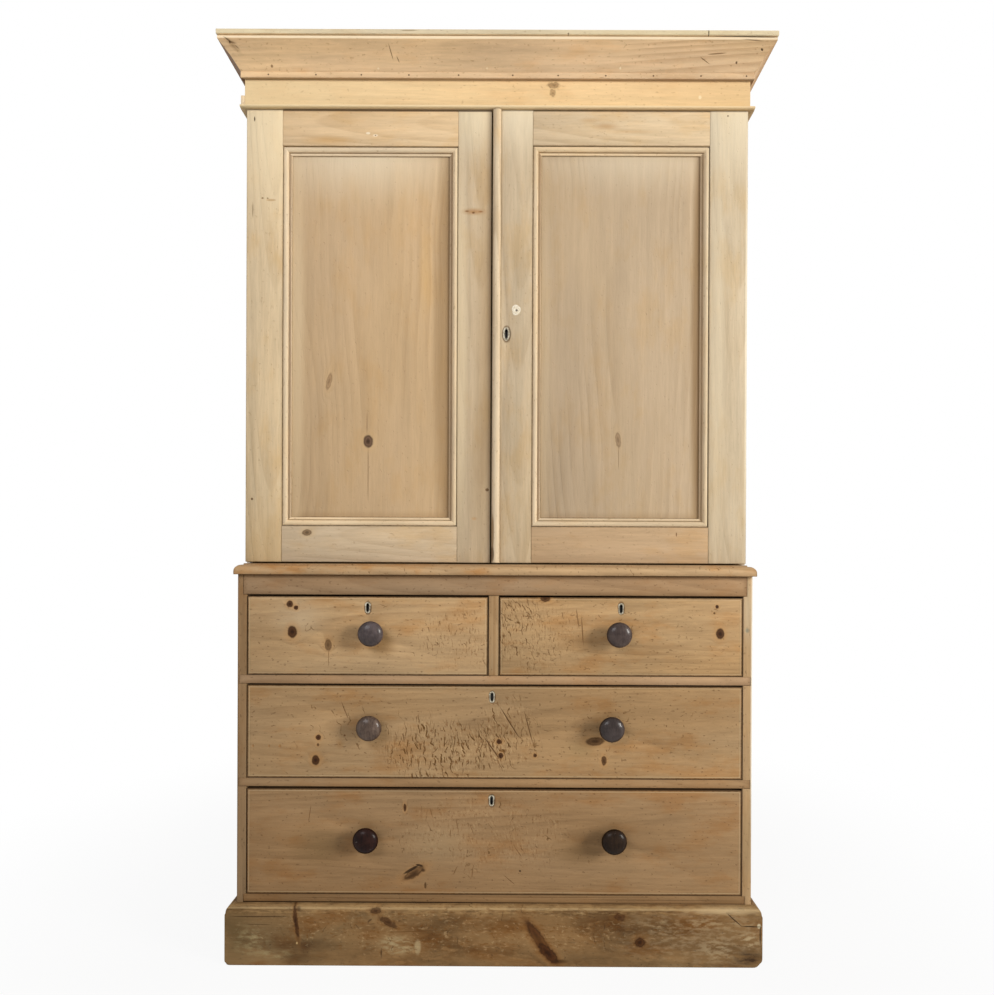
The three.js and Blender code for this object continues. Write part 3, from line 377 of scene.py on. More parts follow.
def pine(name, box, kind, order, seed, look=None, knots=(), marks=(), gouges=(), tint="ffffff"):
    look, tones = dict(pineLook, **(look or {})), pineTones[kind]
    low, high = box
    paint = Paint(name)
    place = paint.place()
    along, across, deep = grainPlace(paint, place, order, seed)

    def drawn(noise, shift=0.0, deepScale=None):  # noise drawn out along the grain
        alongScale, acrossScale, detail, rough = grainNoise[noise]
        moved = across * acrossScale + shift if shift else across * acrossScale
        stretched = paint.vector(along * alongScale, moved, deep * (deepScale or acrossScale))
        return paint.noise(stretched, 1.0, detail, rough)

    # the rings of late wood, round a heart that lies behind the board
    middle = dict(zip("xyz", (low + high) / 2))
    bent = across + (drawn("sway") - 0.5) * look["sway"]
    for spot in knots:  # the rings bow round each knot
        wider = dict(spot, size=[reach * knotLook["ringReach"] for reach in spot["size"]])
        bow = paint.smooth(paint.spot(place, wider), 1.0, 0.1)
        bent = bent + bow * look["ringSpacing"] * knotLook["ringBow"]
    start, heartAcross, heartDeep = [middle[letter] + seed * shift for letter, shift in zip(order, seedShift)]
    sideways = bent - (heartAcross + look["heartAcross"])
    inwards = deep - (heartDeep + look["heartDepth"]) + (along - start) * look["taper"]
    rings = (sideways * sideways + inwards * inwards) ** 0.5 / look["ringSpacing"]
    rings = rings + paint.noise(paint.vector(rings * 0.31, 0.0, float(seed)), 1.0, 1.0) * 2.0
    phase, faint = rings.sum("FRACT", rings, 0), drawn("faint")
    late = paint.smooth(phase, 0.2, 0.88) * paint.smooth(phase, 1.0, 0.9) * paint.smooth(faint, 0.3, 0.75)

    # colour, from the broad clouds down to the flecks
    fibre, streak, cloud, mottle, fleck = [
        drawn(noise) for noise in ("fibre", "streak", "cloud", "mottle", "fleck")]
    cool = paint.smooth(drawn("cool", 7.0), 0.36, 0.64) * look["coolShare"]
    warm = paint.smooth(mottle + (cloud - 0.5) * 0.5, 0.47, 0.74) * look["warmShare"]
    colour = paint.over(linear(tones["mean"]), cool, tones["cool"])
    colour = paint.over(colour, warm, tones["warm"])
    colour = paint.over(colour, late * look["ringShare"], tones["dark"])
    light = (fibre - 0.5) * look["fibreShare"] + (streak - 0.5) * look["streakShare"]
    colour = paint.brighten(colour, light + (cloud - 0.5) * look["cloudShare"] * 2 + 1.0)
    darkFleck, paleFleck = paint.smooth(fleck, 0.66, 0.74), paint.smooth(fleck, 0.33, 0.27)
    colour = paint.over(colour, darkFleck * look["fleckShare"], tones["dark"])
    colour = paint.over(colour, paleFleck * look["fleckShare"] * 0.5, tones["mean"], 1.3)
    if look["stainShare"]:
        stained = paint.smooth(drawn("stainAndPaintedLight", 3.0), 0.46, 0.7) * look["stainShare"]
        colour = paint.over(colour, stained, tones["dark"])
    if look["scuffShare"]:
        patchy = paint.smooth(drawn("scuffed", deepScale=5.0), 0.42, 0.66)
        scuffed = paint.smooth(drawn("scuff"), 0.5, 0.62) * patchy * look["scuffShare"]
        colour = paint.over(colour, scuffed, tones["mean"], 1.6)
    height = fibre * 0.4 + late * 0.3 + mottle * 0.6 - paint.smooth(fleck, 0.7, 0.76) * 0.5
    if "worn" in look:  # an edge rubbed pale, with dirt left in its chips
        worn = look["worn"]
        band = paint.smooth(paint.parts(place)[2], worn["from"], worn["to"])
        chips = drawn("chips", deepScale=110.0)
        height = height + chips * band
        colour = paint.over(colour, paint.smooth(chips, 0.49, 0.57) * band * worn["share"], worn["colour"])
        colour = paint.over(colour, paint.smooth(chips, 0.44, 0.36) * band * worn["share"], tones["dark"])
    # the board's tint, which also holds painted light and shade: it evens out the lamps' fall-off from board
    # to board and darkens the lower boards
    colour = paint.mix(1.0, colour, linear(tint), "MULTIPLY")

    # dirt and painted shade along the edges and in the quirks of a moulding
    edge = edgeDistance(paint, place, low, high, order)
    loose = edge + (mottle - 0.5) * 0.012
    colour = paint.over(colour, paint.smooth(loose, look["grimeReach"], 0.0) * look["grime"], tones["dark"])
    # the rim: a thin dark line at the very edge, dirt and painted shade for the gaps between parts
    close = paint.smooth(edge + (fleck - 0.5) * 0.003, look["rimReach"], look["rimReach"] * 0.3)
    colour = paint.over(colour, close * look["rim"], look["rimColour"])
    # lines a set distance in from the edge: dirt in the quirks, painted shade on a moulding's step, and pale
    # lines of wear and painted highlight on the arrises
    for line in look.get("lines", ()):
        beside = paint.smooth(paint.size(edge - line["from"]), line["half"], line["half"] * 0.3)
        colour = paint.over(colour, beside * line["share"], line["colour"])

    for mark in [mark for mark in marks if not mark["sunk"]]:  # stains and painted light and shade lie under the knots
        colour, height = addMark(paint, place, mark, colour, height)
    for patch in gouges:
        colour, height = addGouges(paint, place, patch, colour, height)
    for spot in knots:
        colour, height = addKnot(paint, place, spot, colour, height, tones)
    for mark in [mark for mark in marks if mark["sunk"]]:
        colour, height = addMark(paint, place, mark, colour, height)
    roughness = (mottle - 0.5) * 0.25 + look["roughness"] + late * 0.06
    return paint.finish(colour, roughness, height, look["bump"], Specular_IOR_Level=look["shine"])


def edgeDistance(paint, place, low, high, order):  # from the nearest edge of the board's broad face
    xyz = dict(zip("xyz", paint.parts(place)))
    nearest = None
    for letter in order[:2]:
        index = "xyz".index(letter)
        reach = (high[index] - low[index]) / 2
        gap = reach - paint.size(xyz[letter] - (low[index] + high[index]) / 2)
        nearest = gap if nearest is None else paint.smallest(nearest, gap)
    return nearest


# What lies on a board: its place on the face and half its size, then its colour and how much of it shows

def stainAndPaintedLight(x, z, wide, high, colour, share, edge=0.0, **more):  # flat colour, under the knots: stains, and painted light and shade
    return dict(at=(x, z), size=(wide, high), colour=colour, share=share, edge=edge, sunk=0, **more)


def scar(x, z, wide, high, colour, share=0.85, edge=0.6, sunk=1.0, **more):  # a crack, dent or chip
    return dict(at=(x, z), size=(wide, high), colour=colour, share=share, edge=edge, sunk=sunk, **more)


def knot(x, z, wide, high, **more):
    return dict(at=(x, z), size=(wide, high), **more)


def strokes(x, z, wide, high, cell, width, length, share, strength, **more):  # gouges in an oval patch
    return dict(at=(x, z), size=(wide, high), cell=cell, width=width, length=length, share=share,
                strength=strength, **more)


def denting(wide, high, lean, share):  # the dents between the gouges
    return dict(wide=wide, high=high, lean=lean, share=share)


# Metal, stained wood and filler

brassTones = {"plate": ("c9c0ab", "857961"), "hinge": ("c2a868", "8a7443"), "hole": "17110c"}


def brass(name, face=None):
    paint = Paint(name)
    place = paint.place()
    cloud = paint.noise(place, 260, 3, 0.6)
    pale, dull = brassTones["hinge" if face is None else "plate"]
    colour = paint.over(linear(pale), paint.smooth(cloud, 0.35, 0.7), dull)
    metal = 0.75 - paint.smooth(cloud, 0.45, 0.8) * 0.4
    if face is not None:  # painted shade: dark inside the keyhole and over the face round the slot, so the hole looks wider
        deep = paint.smooth(paint.parts(place)[1], face["y"] + 0.0006, face["y"] + 0.003)
        inside = paint.largest(deep, paint.smooth(paint.spot(place, face), 1.1, 0.8) * 0.9)
        colour = paint.over(colour, inside, brassTones["hole"])
        metal = metal * (1.0 - inside)
    return paint.finish(colour, cloud * 0.3 + 0.3, cloud, 0.0002, Metallic=metal)


def stainedKnob(name, tones, seed):
    low, high, bloomed, share, shine = tones
    paint = Paint(name)
    x, y, z = paint.parts(paint.place())
    streak = paint.noise(paint.vector(x * 210.0 + seed, y * 90.0, z * 60.0), 1.0, 3.0, 0.65)
    bloom = paint.noise(paint.vector(x * 36.0, y * 36.0, z * 36.0 + seed), 1.0, 4.0, 0.6)
    slanting = paint.vector(x * 90.0 + z * 60.0, y * 90.0, z * 420.0 - x * 260.0 + seed)
    scratch = paint.noise(slanting, 1.0, 2.0, 0.7)
    colour = paint.over(linear(low), paint.smooth(streak, 0.25, 0.75), high)
    colour = paint.over(colour, paint.smooth(bloom, 0.42, 0.7) * share, bloomed)
    colour = paint.over(colour, paint.smooth(scratch, 0.68, 0.74) * 0.3, "94857c")
    roughness = paint.smooth(bloom, 0.3, 0.75) * 0.14 + 0.3
    return paint.finish(colour, roughness, streak * 0.3 + scratch * 0.4, 0.0002,
                        Specular_IOR_Level=0.12 * shine, Coat_Weight=0.2 * shine, Coat_Roughness=0.14)


def fillerPaint(name, hole):
    paint = Paint(name)
    place = paint.place()
    cloud = paint.noise(place, 420, 3, 0.6)
    colour = paint.over(linear("f4ecda"), paint.smooth(cloud, 0.35, 0.7), "d6c6a6")
    colour, height = addMark(paint, place, hole, colour, cloud)
    return paint.finish(colour, 0.8, height, 0.0004)


# Ways of working in edit mode

def workOn(piece):
    if bpy.context.object and bpy.context.object.mode != "OBJECT":
        bpy.ops.object.mode_set(mode="OBJECT")
    bpy.ops.object.select_all(action="DESELECT")
    piece.select_set(True)
    bpy.context.view_layer.objects.active = piece


def edit(piece, kind="VERT", action="SELECT"):
    workOn(piece)
    bpy.ops.object.mode_set(mode="EDIT")
    bpy.ops.mesh.select_mode(type=kind)
    bpy.ops.mesh.select_all(action=action)


def leaveEdit():
    bpy.ops.object.mode_set(mode="OBJECT")


def pick(piece, kind, test):  # selects the vertices, edges or faces that pass a test
    edit(piece, kind, "DESELECT")
    leaveEdit()
    mesh = piece.data
    for item in {"VERT": mesh.vertices, "EDGE": mesh.edges, "FACE": mesh.polygons}[kind]:
        item.select = test(item)
    bpy.ops.object.mode_set(mode="EDIT")


def smoothByAngle(piece, angle=33):
    workOn(piece)
    bpy.ops.object.shade_smooth_by_angle(angle=math.radians(angle))


def applyModifiers(piece):
    workOn(piece)
    for modifier in list(piece.modifiers):
        bpy.ops.object.modifier_apply(modifier=modifier.name)


def standFor(piece, material, *replaced):
    piece.data.materials.clear()
    piece.data.materials.append(material)
    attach(piece, bodyOf[replaced[0]])
    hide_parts(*replaced)
    return piece


rubbed = {  # how far arrises are rubbed round on the boards, and what counts as an arris
    "shown": 0.0012, "inner": 0.0006, "waist": 0.0009, "segments": 2, "sharperThan": 38,
    "mergeWithin": 0.00001, "flatWithin": 0.6,
}


def wornCopy(node, kind):
    # a CAD piece again, merged to whole faces, with its long arrises rubbed round
    piece = bpy.data.objects.new(node + "_worn", nodes[node].data.copy())
    bpy.context.scene.collection.objects.link(piece)
    edit(piece)
    bpy.ops.mesh.remove_doubles(threshold=rubbed["mergeWithin"])
    bpy.ops.mesh.dissolve_limited(angle_limit=math.radians(rubbed["flatWithin"]))
    leaveEdit()
    rub = piece.modifiers.new("rub", "BEVEL")
    rub.width, rub.segments, rub.limit_method = rubbed[kind], rubbed["segments"], "ANGLE"
    rub.angle_limit = math.radians(rubbed["sharperThan"])
    rub.use_clamp_overlap = True
    rub.miter_outer = "MITER_ARC"
    applyModifiers(piece)
    smoothByAngle(piece)
    return piece


def arcPoints(centre, reach, fromAngle, toAngle, steps):
    turns = [math.radians(fromAngle + (toAngle - fromAngle) * step / steps) for step in range(steps + 1)]
    return [(centre[0] + reach[0] * math.cos(turn), centre[1] + reach[1] * math.sin(turn)) for turn in turns]


def pulledRun(name, profile, start, finish, outward, upward, turns, steps):
    # a moulding: its section drawn as a face, pulled along, and cut at the mitres
    start, finish = Vector(start), Vector(finish)
    along = (finish - start).normalized()
    spare = max(out for out, _ in profile) + 0.002
    begin = start - along * (spare if turns[0] < 0 else 0)
    end = finish + along * (spare if turns[1] < 0 else 0)
    bpy.ops.mesh.primitive_circle_add(vertices=len(profile), fill_type="NGON", radius=0.01)
    piece = bpy.context.object
    piece.name = piece.data.name = name
    for vertex, (out, up) in zip(piece.data.vertices, profile):
        vertex.co = begin + outward * out + upward * up
    piece.data.update()
    edit(piece, "FACE")
    pull = (end - begin) / steps
    for _ in range(steps):
        bpy.ops.mesh.extrude_region_move(TRANSFORM_OT_translate={"value": pull})
    for corner, away, turn in ((start, -along, turns[0]), (finish, along, turns[1])):
        if turn:
            bpy.ops.mesh.select_all(action="SELECT")
            bpy.ops.mesh.bisect(plane_co=corner, plane_no=away + outward * turn, use_fill=True,
                                clear_outer=True)
    bpy.ops.mesh.select_all(action="SELECT")
    bpy.ops.mesh.normals_make_consistent(inside=False)
    leaveEdit()
    return piece


def mitredSides(half, faceY, back, foot):  # start, finish, outward side and mitres: left, front and right
    corners = [Vector((x, y, foot)) for x, y in ((-half, back), (-half, faceY), (half, faceY), (half, back))]
    return [(corners[0], corners[1], -axisX, (0, -1)), (corners[1], corners[2], -axisY, (-1, -1)),
            (corners[2], corners[3], axisX, (-1, 0))]


# Knobs

knobShape = {
    "radius": 0.029, "reach": 0.038, "widest": 0.0225, "under": 0.0185, "fullness": 2.05, "neck": 0.013,
    "flare": 0.005, "lip": 0.004, "base": 0.018, "baseThickness": 0.005, "baseRound": 0.0022,
    "fillet": (0.0012, 0.0015), "spigot": 0.008, "tail": 0.024, "gap": 0.0003, "sides": 64,
    "faceSteps": 18, "mergeWithin": 0.00005, "seedStep": 5.3,
}

knobTones = {  # the stain at its darkest and lightest, the bloom on it and its share, and the shine
    "short_left_drawer_knob": ("342c2d", "483d3a", "65595a", 0.6, 1.2),
    "short_right_drawer_knob": ("342825", "473934", "60524c", 0.55, 1.2),
    "upper_long_drawer_left_knob": ("3c2d25", "5d4c40", "836f62", 0.5, 1.2),
    "upper_long_drawer_right_knob": ("281f1c", "382d29", "504644", 0.5, 1.2),
    "lower_long_drawer_left_knob": ("120604", "240f0a", "3a221b", 0.4, 0.5),
    "lower_long_drawer_right_knob": ("180e07", "2a1c11", "3c2c1f", 0.4, 0.5),
}


def knobProfile(shape):
    # (radius, distance out of the drawer's face) from the tail of the spigot to the crown
    neck, base, widest, power = shape["neck"], shape["base"], shape["widest"], 2 / shape["fullness"]
    flareSize, lipStart, soft = shape["flare"], shape["lip"], shape["baseRound"]
    flare = arcPoints((neck + flareSize, shape["under"] - flareSize), (flareSize, flareSize), 180, 110, 5)
    lipSize = (shape["radius"] - neck - lipStart, widest - shape["under"])
    lip = arcPoints((neck + lipStart, widest), lipSize, -85, 0, 10)
    face = []
    for step in range(1, shape["faceSteps"]):
        angle = math.radians(90 * step / shape["faceSteps"])
        face.append((shape["radius"] * math.cos(angle) ** power,
                     widest + (shape["reach"] - widest) * math.sin(angle) ** power))
    foot = arcPoints((base - soft, shape["baseThickness"] - soft), (soft, soft), 0, 90, 4)
    filletIn, filletUp = shape["fillet"]
    return (
        [(0, -shape["tail"]), (shape["spigot"], -shape["tail"]), (shape["spigot"], shape["gap"]),
         (base, shape["gap"])]
        + foot + [(neck + filletIn, shape["baseThickness"]), (neck, shape["baseThickness"] + filletUp)]
        + flare + lip + face + [(0, shape["reach"])]
    )


def makeKnob(node, seed):
    low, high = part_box(node)
    centre = Vector(((low.x + high.x) / 2, low.y + knobShape["reach"], (low.z + high.z) / 2))
    profile = knobProfile(knobShape)
    bpy.ops.mesh.primitive_circle_add(vertices=len(profile), fill_type="NOTHING", radius=0.01)
    knob = bpy.context.object
    knob.name = knob.data.name = node + "_turned"
    for vertex, (radius, out) in zip(knob.data.vertices, profile):
        vertex.co = centre + Vector((radius, -out, 0))
    last = len(profile) - 1
    pick(knob, "EDGE", lambda edge: set(edge.vertices) == {0, last})
    bpy.ops.mesh.delete(type="EDGE")
    bpy.ops.mesh.select_mode(type="VERT")
    bpy.ops.mesh.select_all(action="SELECT")
    bpy.ops.mesh.spin(steps=knobShape["sides"], angle=math.radians(360), center=centre, axis=(0, 1, 0))
    bpy.ops.mesh.select_all(action="SELECT")
    bpy.ops.mesh.remove_doubles(threshold=knobShape["mergeWithin"])
    bpy.ops.mesh.normals_make_consistent(inside=False)
    leaveEdit()
    smoothByAngle(knob, 40)
    return standFor(knob, stainedKnob(node, knobTones[node], seed), node)


# Cornice: crown moulding mitred round three sides under a square-edged top board

crown = {
    "filletReach": 0.007, "filletHeight": 0.0145, "slopeHeight": 0.0478, "coveDepth": 0.0022,
    "bandHeight": 0.0075, "bandSetBack": 0.0025, "quirkSetBack": 0.0045, "height": 0.0722,
    "gap": 0.0003, "arris": 0.0011, "steps": 48, "coveSteps": 12, "sideBeyondCeiling": 0.014,
    "boardArris": 0.0016, "leftReturnDirtAndShade": "a38d74", "tint": "fdf7f5",
}


def crownProfile(shape, reach):
    filletReach, filletHeight, soft = shape["filletReach"], shape["filletHeight"], shape["arris"]
    slopeEnd = (reach - shape["bandSetBack"], filletHeight + shape["slopeHeight"])
    cove = []
    for step in range(1, shape["coveSteps"]):
        share = step / shape["coveSteps"]
        sag = 4 * shape["coveDepth"] * share * (1 - share) * math.sqrt(0.5)
        cove.append((filletReach + (slopeEnd[0] - filletReach) * share - sag,
                     filletHeight + (slopeEnd[1] - filletHeight) * share + sag))
    bandTop = slopeEnd[1] + shape["bandHeight"]
    quirk = reach - shape["quirkSetBack"]
    lower = arcPoints((filletReach - soft, soft), (soft, soft), -90, 0, 3)
    upper = arcPoints((filletReach - soft, filletHeight - soft), (soft, soft), 0, 90, 3)
    band = arcPoints((slopeEnd[0] - soft, slopeEnd[1] + soft), (soft, soft), -60, 0, 3)
    cap = arcPoints((slopeEnd[0] - soft, bandTop - soft), (soft, soft), 0, 90, 3)
    return [(shape["gap"], 0)] + lower + upper + cove + band + cap + [
        (quirk, bandTop), (quirk, shape["height"]), (shape["gap"], shape["height"])]


def makeCornice():
    low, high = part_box("cornice")
    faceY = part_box("left_door_meeting_stile")[0].y
    half = abs(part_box("cupboard_ceiling")[0].x) + crown["sideBeyondCeiling"]
    foot = low.z + crown["height"]
    profile = crownProfile(crown, faceY - low.y)
    box = (low, Vector((high.x, high.y, foot)))
    seeds = {"crown_left_return": 3, "crown_front": 1, "crown_right_return": 7}
    for (name, seed), side in zip(seeds.items(), mitredSides(half, faceY, high.y, low.z)):
        start, finish, outward, turns = side
        run = pulledRun(name, profile, start, finish, outward, axisZ, turns, crown["steps"])
        smoothByAngle(run, 30)
        if name == "crown_front":
            material = pine(name, box, "cornice", "xzy", seed, crownLook, marks=crownMarks,
                            tint=crown["tint"])
        else:
            # the left return is tinted darker: dirt, and painted shade on the side that faces away from the
            # light
            tint = crown["leftReturnDirtAndShade"] if name == "crown_left_return" else crown["tint"]
            material = pine(name, box, "cornice", "yzx", seed, returnLook, tint=tint)
        standFor(run, material, "cornice")
    bpy.ops.mesh.primitive_cube_add(size=1)
    board = bpy.context.object
    board.name = board.data.name = "cornice_top_board"
    board.scale = (high.x - low.x, high.y - low.y, high.z - foot)
    board.location = ((low.x + high.x) / 2, (low.y + high.y) / 2, (foot + high.z) / 2)
    bpy.ops.object.transform_apply(location=True, rotation=True, scale=True)
    edit(board, "EDGE")
    bpy.ops.mesh.bevel(offset=crown["boardArris"], segments=3, affect="EDGES")
    leaveEdit()
    smoothByAngle(board, 35)
    box = (Vector((low.x, low.y, foot)), high)
    standFor(board, pine("cornice_top", box, "top", "xyz", 11, topLook, marks=topMarks), "cornice")


crownLook = {
    "ringShare": 0.3, "grime": 0.12, "sway": 0.04, "heartDepth": 0.1, "streakShare": 0.6, "cloudShare": 0.22,
}
topLook = {"grime": 0.0, "rim": 0.25, "rimReach": 0.0015, "warmShare": 0.3}
# the returns darker towards their edges over a wide reach: dirt and painted shade
returnLook = {"grime": 0.7, "grimeReach": 0.06, "warmShare": 0.6, "stainShare": 0.5}
crownNails = (-0.53, -0.42, -0.315, -0.205, -0.09, 0.035, 0.14, 0.25, 0.36, 0.47, 0.575)
crownMarks = [scar(x, 2.0445, 0.0022, 0.002, "4a3320", 0.9) for x in crownNails] + [
    scar(-0.275, 2.057, 0.0026, 0.0016, "eedcb9", 0.7, sunk=0.2),
    scar(-0.024, 2.058, 0.0026, 0.0018, "ecd8b2", 0.65, sunk=0.2),
    scar(0.283, 2.059, 0.0022, 0.0022, "f0e0c0", 0.75, sunk=0.2),
    scar(-0.52, 2.06, 0.003, 0.0028, "7d5a36", 0.7),
    scar(0.548, 2.068, 0.0024, 0.0022, "53381f"),
    scar(0.601, 2.087, 0.0036, 0.0018, "3a2513", 0.9, turn=20),
    scar(-0.243, 2.082, 0.0012, 0.013, "7c5631", 0.75, turn=-18),
    scar(-0.228, 2.071, 0.001, 0.006, "704b28", 0.75, turn=-30),
    scar(0.5, 2.081, 0.022, 0.0011, "7d5832", 0.7, turn=-3),
    scar(0.475, 2.071, 0.014, 0.0009, "7d5832", 0.7, turn=24),
    scar(-0.6, 2.094, 0.011, 0.0018, "5f4023", 0.6, 0.2, turn=8),
    scar(-0.592, 2.088, 0.006, 0.0012, "5f4023", 0.6, 0.2, turn=34),
    stainAndPaintedLight(-0.6, 2.09, 0.022, 0.006, "7a5a35", 0.5, turn=36),
    scar(-0.61, 2.0985, 0.012, 0.0018, "452c16", 0.75, 0.1, turn=30),
    scar(-0.606, 2.0945, 0.002, 0.0022, "3a2513", 0.8),
    stainAndPaintedLight(0, 2.1033, 1.2, 0.0034, "f8e8c8", 0.7, 0.6),
    scar(0.56, 2.1078, 0.08, 0.0018, "352111", turn=1.5),
    scar(0.575, 2.1, 0.03, 0.0014, "5a3d20", 0.7, 0.1, turn=4),
]
topMarks = [
    scar(0.476, 2.113, 0.0013, 0.008, "3c2816", 0.9),
    scar(-0.2, 2.117, 0.02, 0.0012, "8a6b45", 0.7),
    scar(0.16, 2.111, 0.002, 0.002, "5b3d20", 0.8),
]


# Planted mouldings round the door panels

panelMould = {
    "width": 0.02, "band": 0.013, "rise": 0.008, "step": 0.003, "quirk": 0.0015, "gap": 0.0003,
    "soft": 0.0006, "steps": 24,
}
mouldLook = {"grime": 0.0, "rimReach": 0.0016, "ringShare": 0.1, "warmShare": 0.25}
# the share of painted shade in the gap at each run's outer edge; less on the right-hand run, which faces the
# light
mouldRims = {"left": 0.55, "head": 0.55, "right": 0.2, "foot": 0.55}
quirkLines = [{"from": 0.0137, "half": 0.0014, "share": 0.55, "colour": "7a5532"},
              {"from": 0.0205, "half": 0.0014, "share": 0.5, "colour": "7a5532"}]
shadeLine = {"from": 0.0165, "half": 0.0038, "share": 0.6, "colour": "6f4c2c"}
# a painted highlight along the outer arris of the right-hand run
arrisHighlightLine = {"from": 0.0022, "half": 0.0022, "share": 0.4, "colour": "f8eecb"}
mouldLines = {"left": [shadeLine], "head": quirkLines, "right": [shadeLine, arrisHighlightLine], "foot": quirkLines}


def panelMouldProfile(shape):
    gap, band, quirk, step, soft = [shape[name] for name in ("gap", "band", "quirk", "step", "soft")]
    middle, floorUp = (band + gap) / 2, step - quirk
    swell = arcPoints((middle, step), (middle - gap, shape["rise"] - step), 180, 0, 18)
    shoulder = arcPoints((band + quirk + soft, step - soft), (soft, soft), 180, 90, 2)
    nose = arcPoints((shape["width"] - quirk, floorUp), (quirk, quirk), 90, 0, 4)
    return [(gap, 0)] + swell + [(band, floorUp), (band + quirk, floorUp)] + shoulder + nose + [
        (shape["width"], 0)]


def makePanelMoulding(door, seed):
    node = door + "_panel_moulding"
    low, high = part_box(node)
    foot, gap = high.y, panelMould["gap"]  # the foot is the face of the panel that it is planted on
    ways = ((low.x, low.z, -gap, -gap), (low.x, high.z, -gap, gap), (high.x, high.z, gap, gap),
            (high.x, low.z, gap, -gap))
    corners = [Vector((x, foot, z)) + Vector((right, 0, up)) for x, z, right, up in ways]
    profile = panelMouldProfile(panelMould)
    inward = (axisX, -axisZ, -axisX, axisZ)
    for index, (side, lines) in enumerate(mouldLines.items()):
        name = "%s_moulding_%s" % (door, side)
        start, finish = corners[index], corners[(index + 1) % 4]
        run = pulledRun(name, profile, start, finish, inward[index], -axisY, (1, 1), panelMould["steps"])
        smoothByAngle(run, 30)
        order = "zxy" if side in ("left", "right") else "xzy"
        look = dict(mouldLook, rim=mouldRims[side], lines=lines)
        standFor(run, pine(name, (low, high), "door", order, seed + index, look), node)


# Bead on the right door, which covers the meeting of the two doors

bead = {"soft": 0.0008, "steps": 60, "look": {"grime": 0.25, "grimeReach": 0.004, "ringShare": 0.3}}


def makeMeetingBead():
    node = "right_door_meeting_bead"
    low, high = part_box(node)
    half, reach, soft = (high.x - low.x) / 2, high.y - low.y, bead["soft"]
    profile = [(-half, 0)] + arcPoints((0, soft), (half, reach - soft), 180, 0, 20) + [(half, 0)]
    start = Vector(((low.x + high.x) / 2, high.y, low.z))
    finish = Vector((start.x, start.y, high.z))
    run = pulledRun("meeting_bead", profile, start, finish, axisX, -axisY, (0, 0), bead["steps"])
    smoothByAngle(run, 30)
    marks = [scar(low.x + 0.003, low.z + 0.07, 0.0035, 0.045, "8b6a42", 0.7),
             scar(low.x + 0.002, low.z + 0.02, 0.005, 0.02, "5d4325", 0.8)]
    standFor(run, pine("meeting_bead", (low, high), "door", "zxy", 23, bead["look"], marks=marks), node)


# Plinth of three boards with a moulded top edge, worn round at its corners

plinth = {
    "thickness": 0.02, "mouldHeight": 0.015, "mouldReach": 0.012, "fillet": 0.003, "gap": 0.0003,
    "leftWear": 0.011, "rightWear": 0.021, "wearShare": 0.29, "wearWithin": 0.0018, "steps": 40,
    "cornerCuts": (0.0025, 0.005, 0.0075, 0.01, 0.013, 0.017, 0.021), "footSoft": 0.0015, "bodySteps": 8,
}


def plinthProfile(shape, height):
    outer, mouldFoot = shape["thickness"], height - shape["mouldHeight"]
    fillet, soft, steps = shape["fillet"], shape["footSoft"], shape["bodySteps"]
    swell = arcPoints((outer - shape["mouldReach"] - fillet / 2, mouldFoot),
                      (shape["mouldReach"], shape["mouldHeight"]), 0, 90, 10)
    body = [(outer - soft, 0), (outer, soft)]
    body += [(outer, mouldFoot * step / steps) for step in range(1, steps)]
    ledge = [(outer, mouldFoot - fillet - 0.001), (outer - 0.0006, mouldFoot - fillet)]
    return [(shape["gap"], 0)] + body + ledge + swell + [(shape["gap"], height)]


def makePlinth():
    low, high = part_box("plinth")
    half, faceY = high.x - plinth["thickness"], low.y + plinth["thickness"]
    profile = plinthProfile(plinth, high.z)
    seeds = {"plinth_left": 31, "plinth_front": 32, "plinth_right": 33}
    for (name, seed), side in zip(seeds.items(), mitredSides(half, faceY, high.y, 0)):
        start, finish, outward, turns = side
        run = pulledRun(name, profile, start, finish, outward, axisZ, turns, plinth["steps"])
        for way, reach in ((-1, plinth["leftWear"]), (1, plinth["rightWear"])):
            wearCorner(run, Vector((way * high.x, low.y, 0)), way, reach)
        smoothByAngle(run, 34)
        front = name == "plinth_front"
        extras = dict(knots=plinthKnots, marks=plinthMarks, gouges=plinthGouges) if front else {}
        material = pine(name, (low, high), "plinth", "xzy" if front else "yzx", seed, plinthLook,
                        tint=plinthTint, **extras)
        standFor(run, material, "plinth")


def wearCorner(run, corner, side, reach):
    edit(run)
    for cut in plinth["cornerCuts"]:  # edges enough to round the corner off
        for place, normal in ((corner - axisX * side * cut, axisX), (corner + axisZ * cut, axisZ)):
            bpy.ops.mesh.select_all(action="SELECT")
            bpy.ops.mesh.bisect(plane_co=place, plane_no=normal)
    leaveEdit()
    pick(run, "VERT", lambda vertex: (vertex.co - corner).length < plinth["wearWithin"])
    if any(vertex.select for vertex in run.data.vertices):
        wear = reach * plinth["wearShare"]  # how far a round of this reach takes the corner in
        bpy.ops.transform.translate(
            value=(-side * wear, wear * 0.6, wear), use_proportional_edit=True,
            proportional_edit_falloff="SHARP", proportional_size=reach)
    leaveEdit()


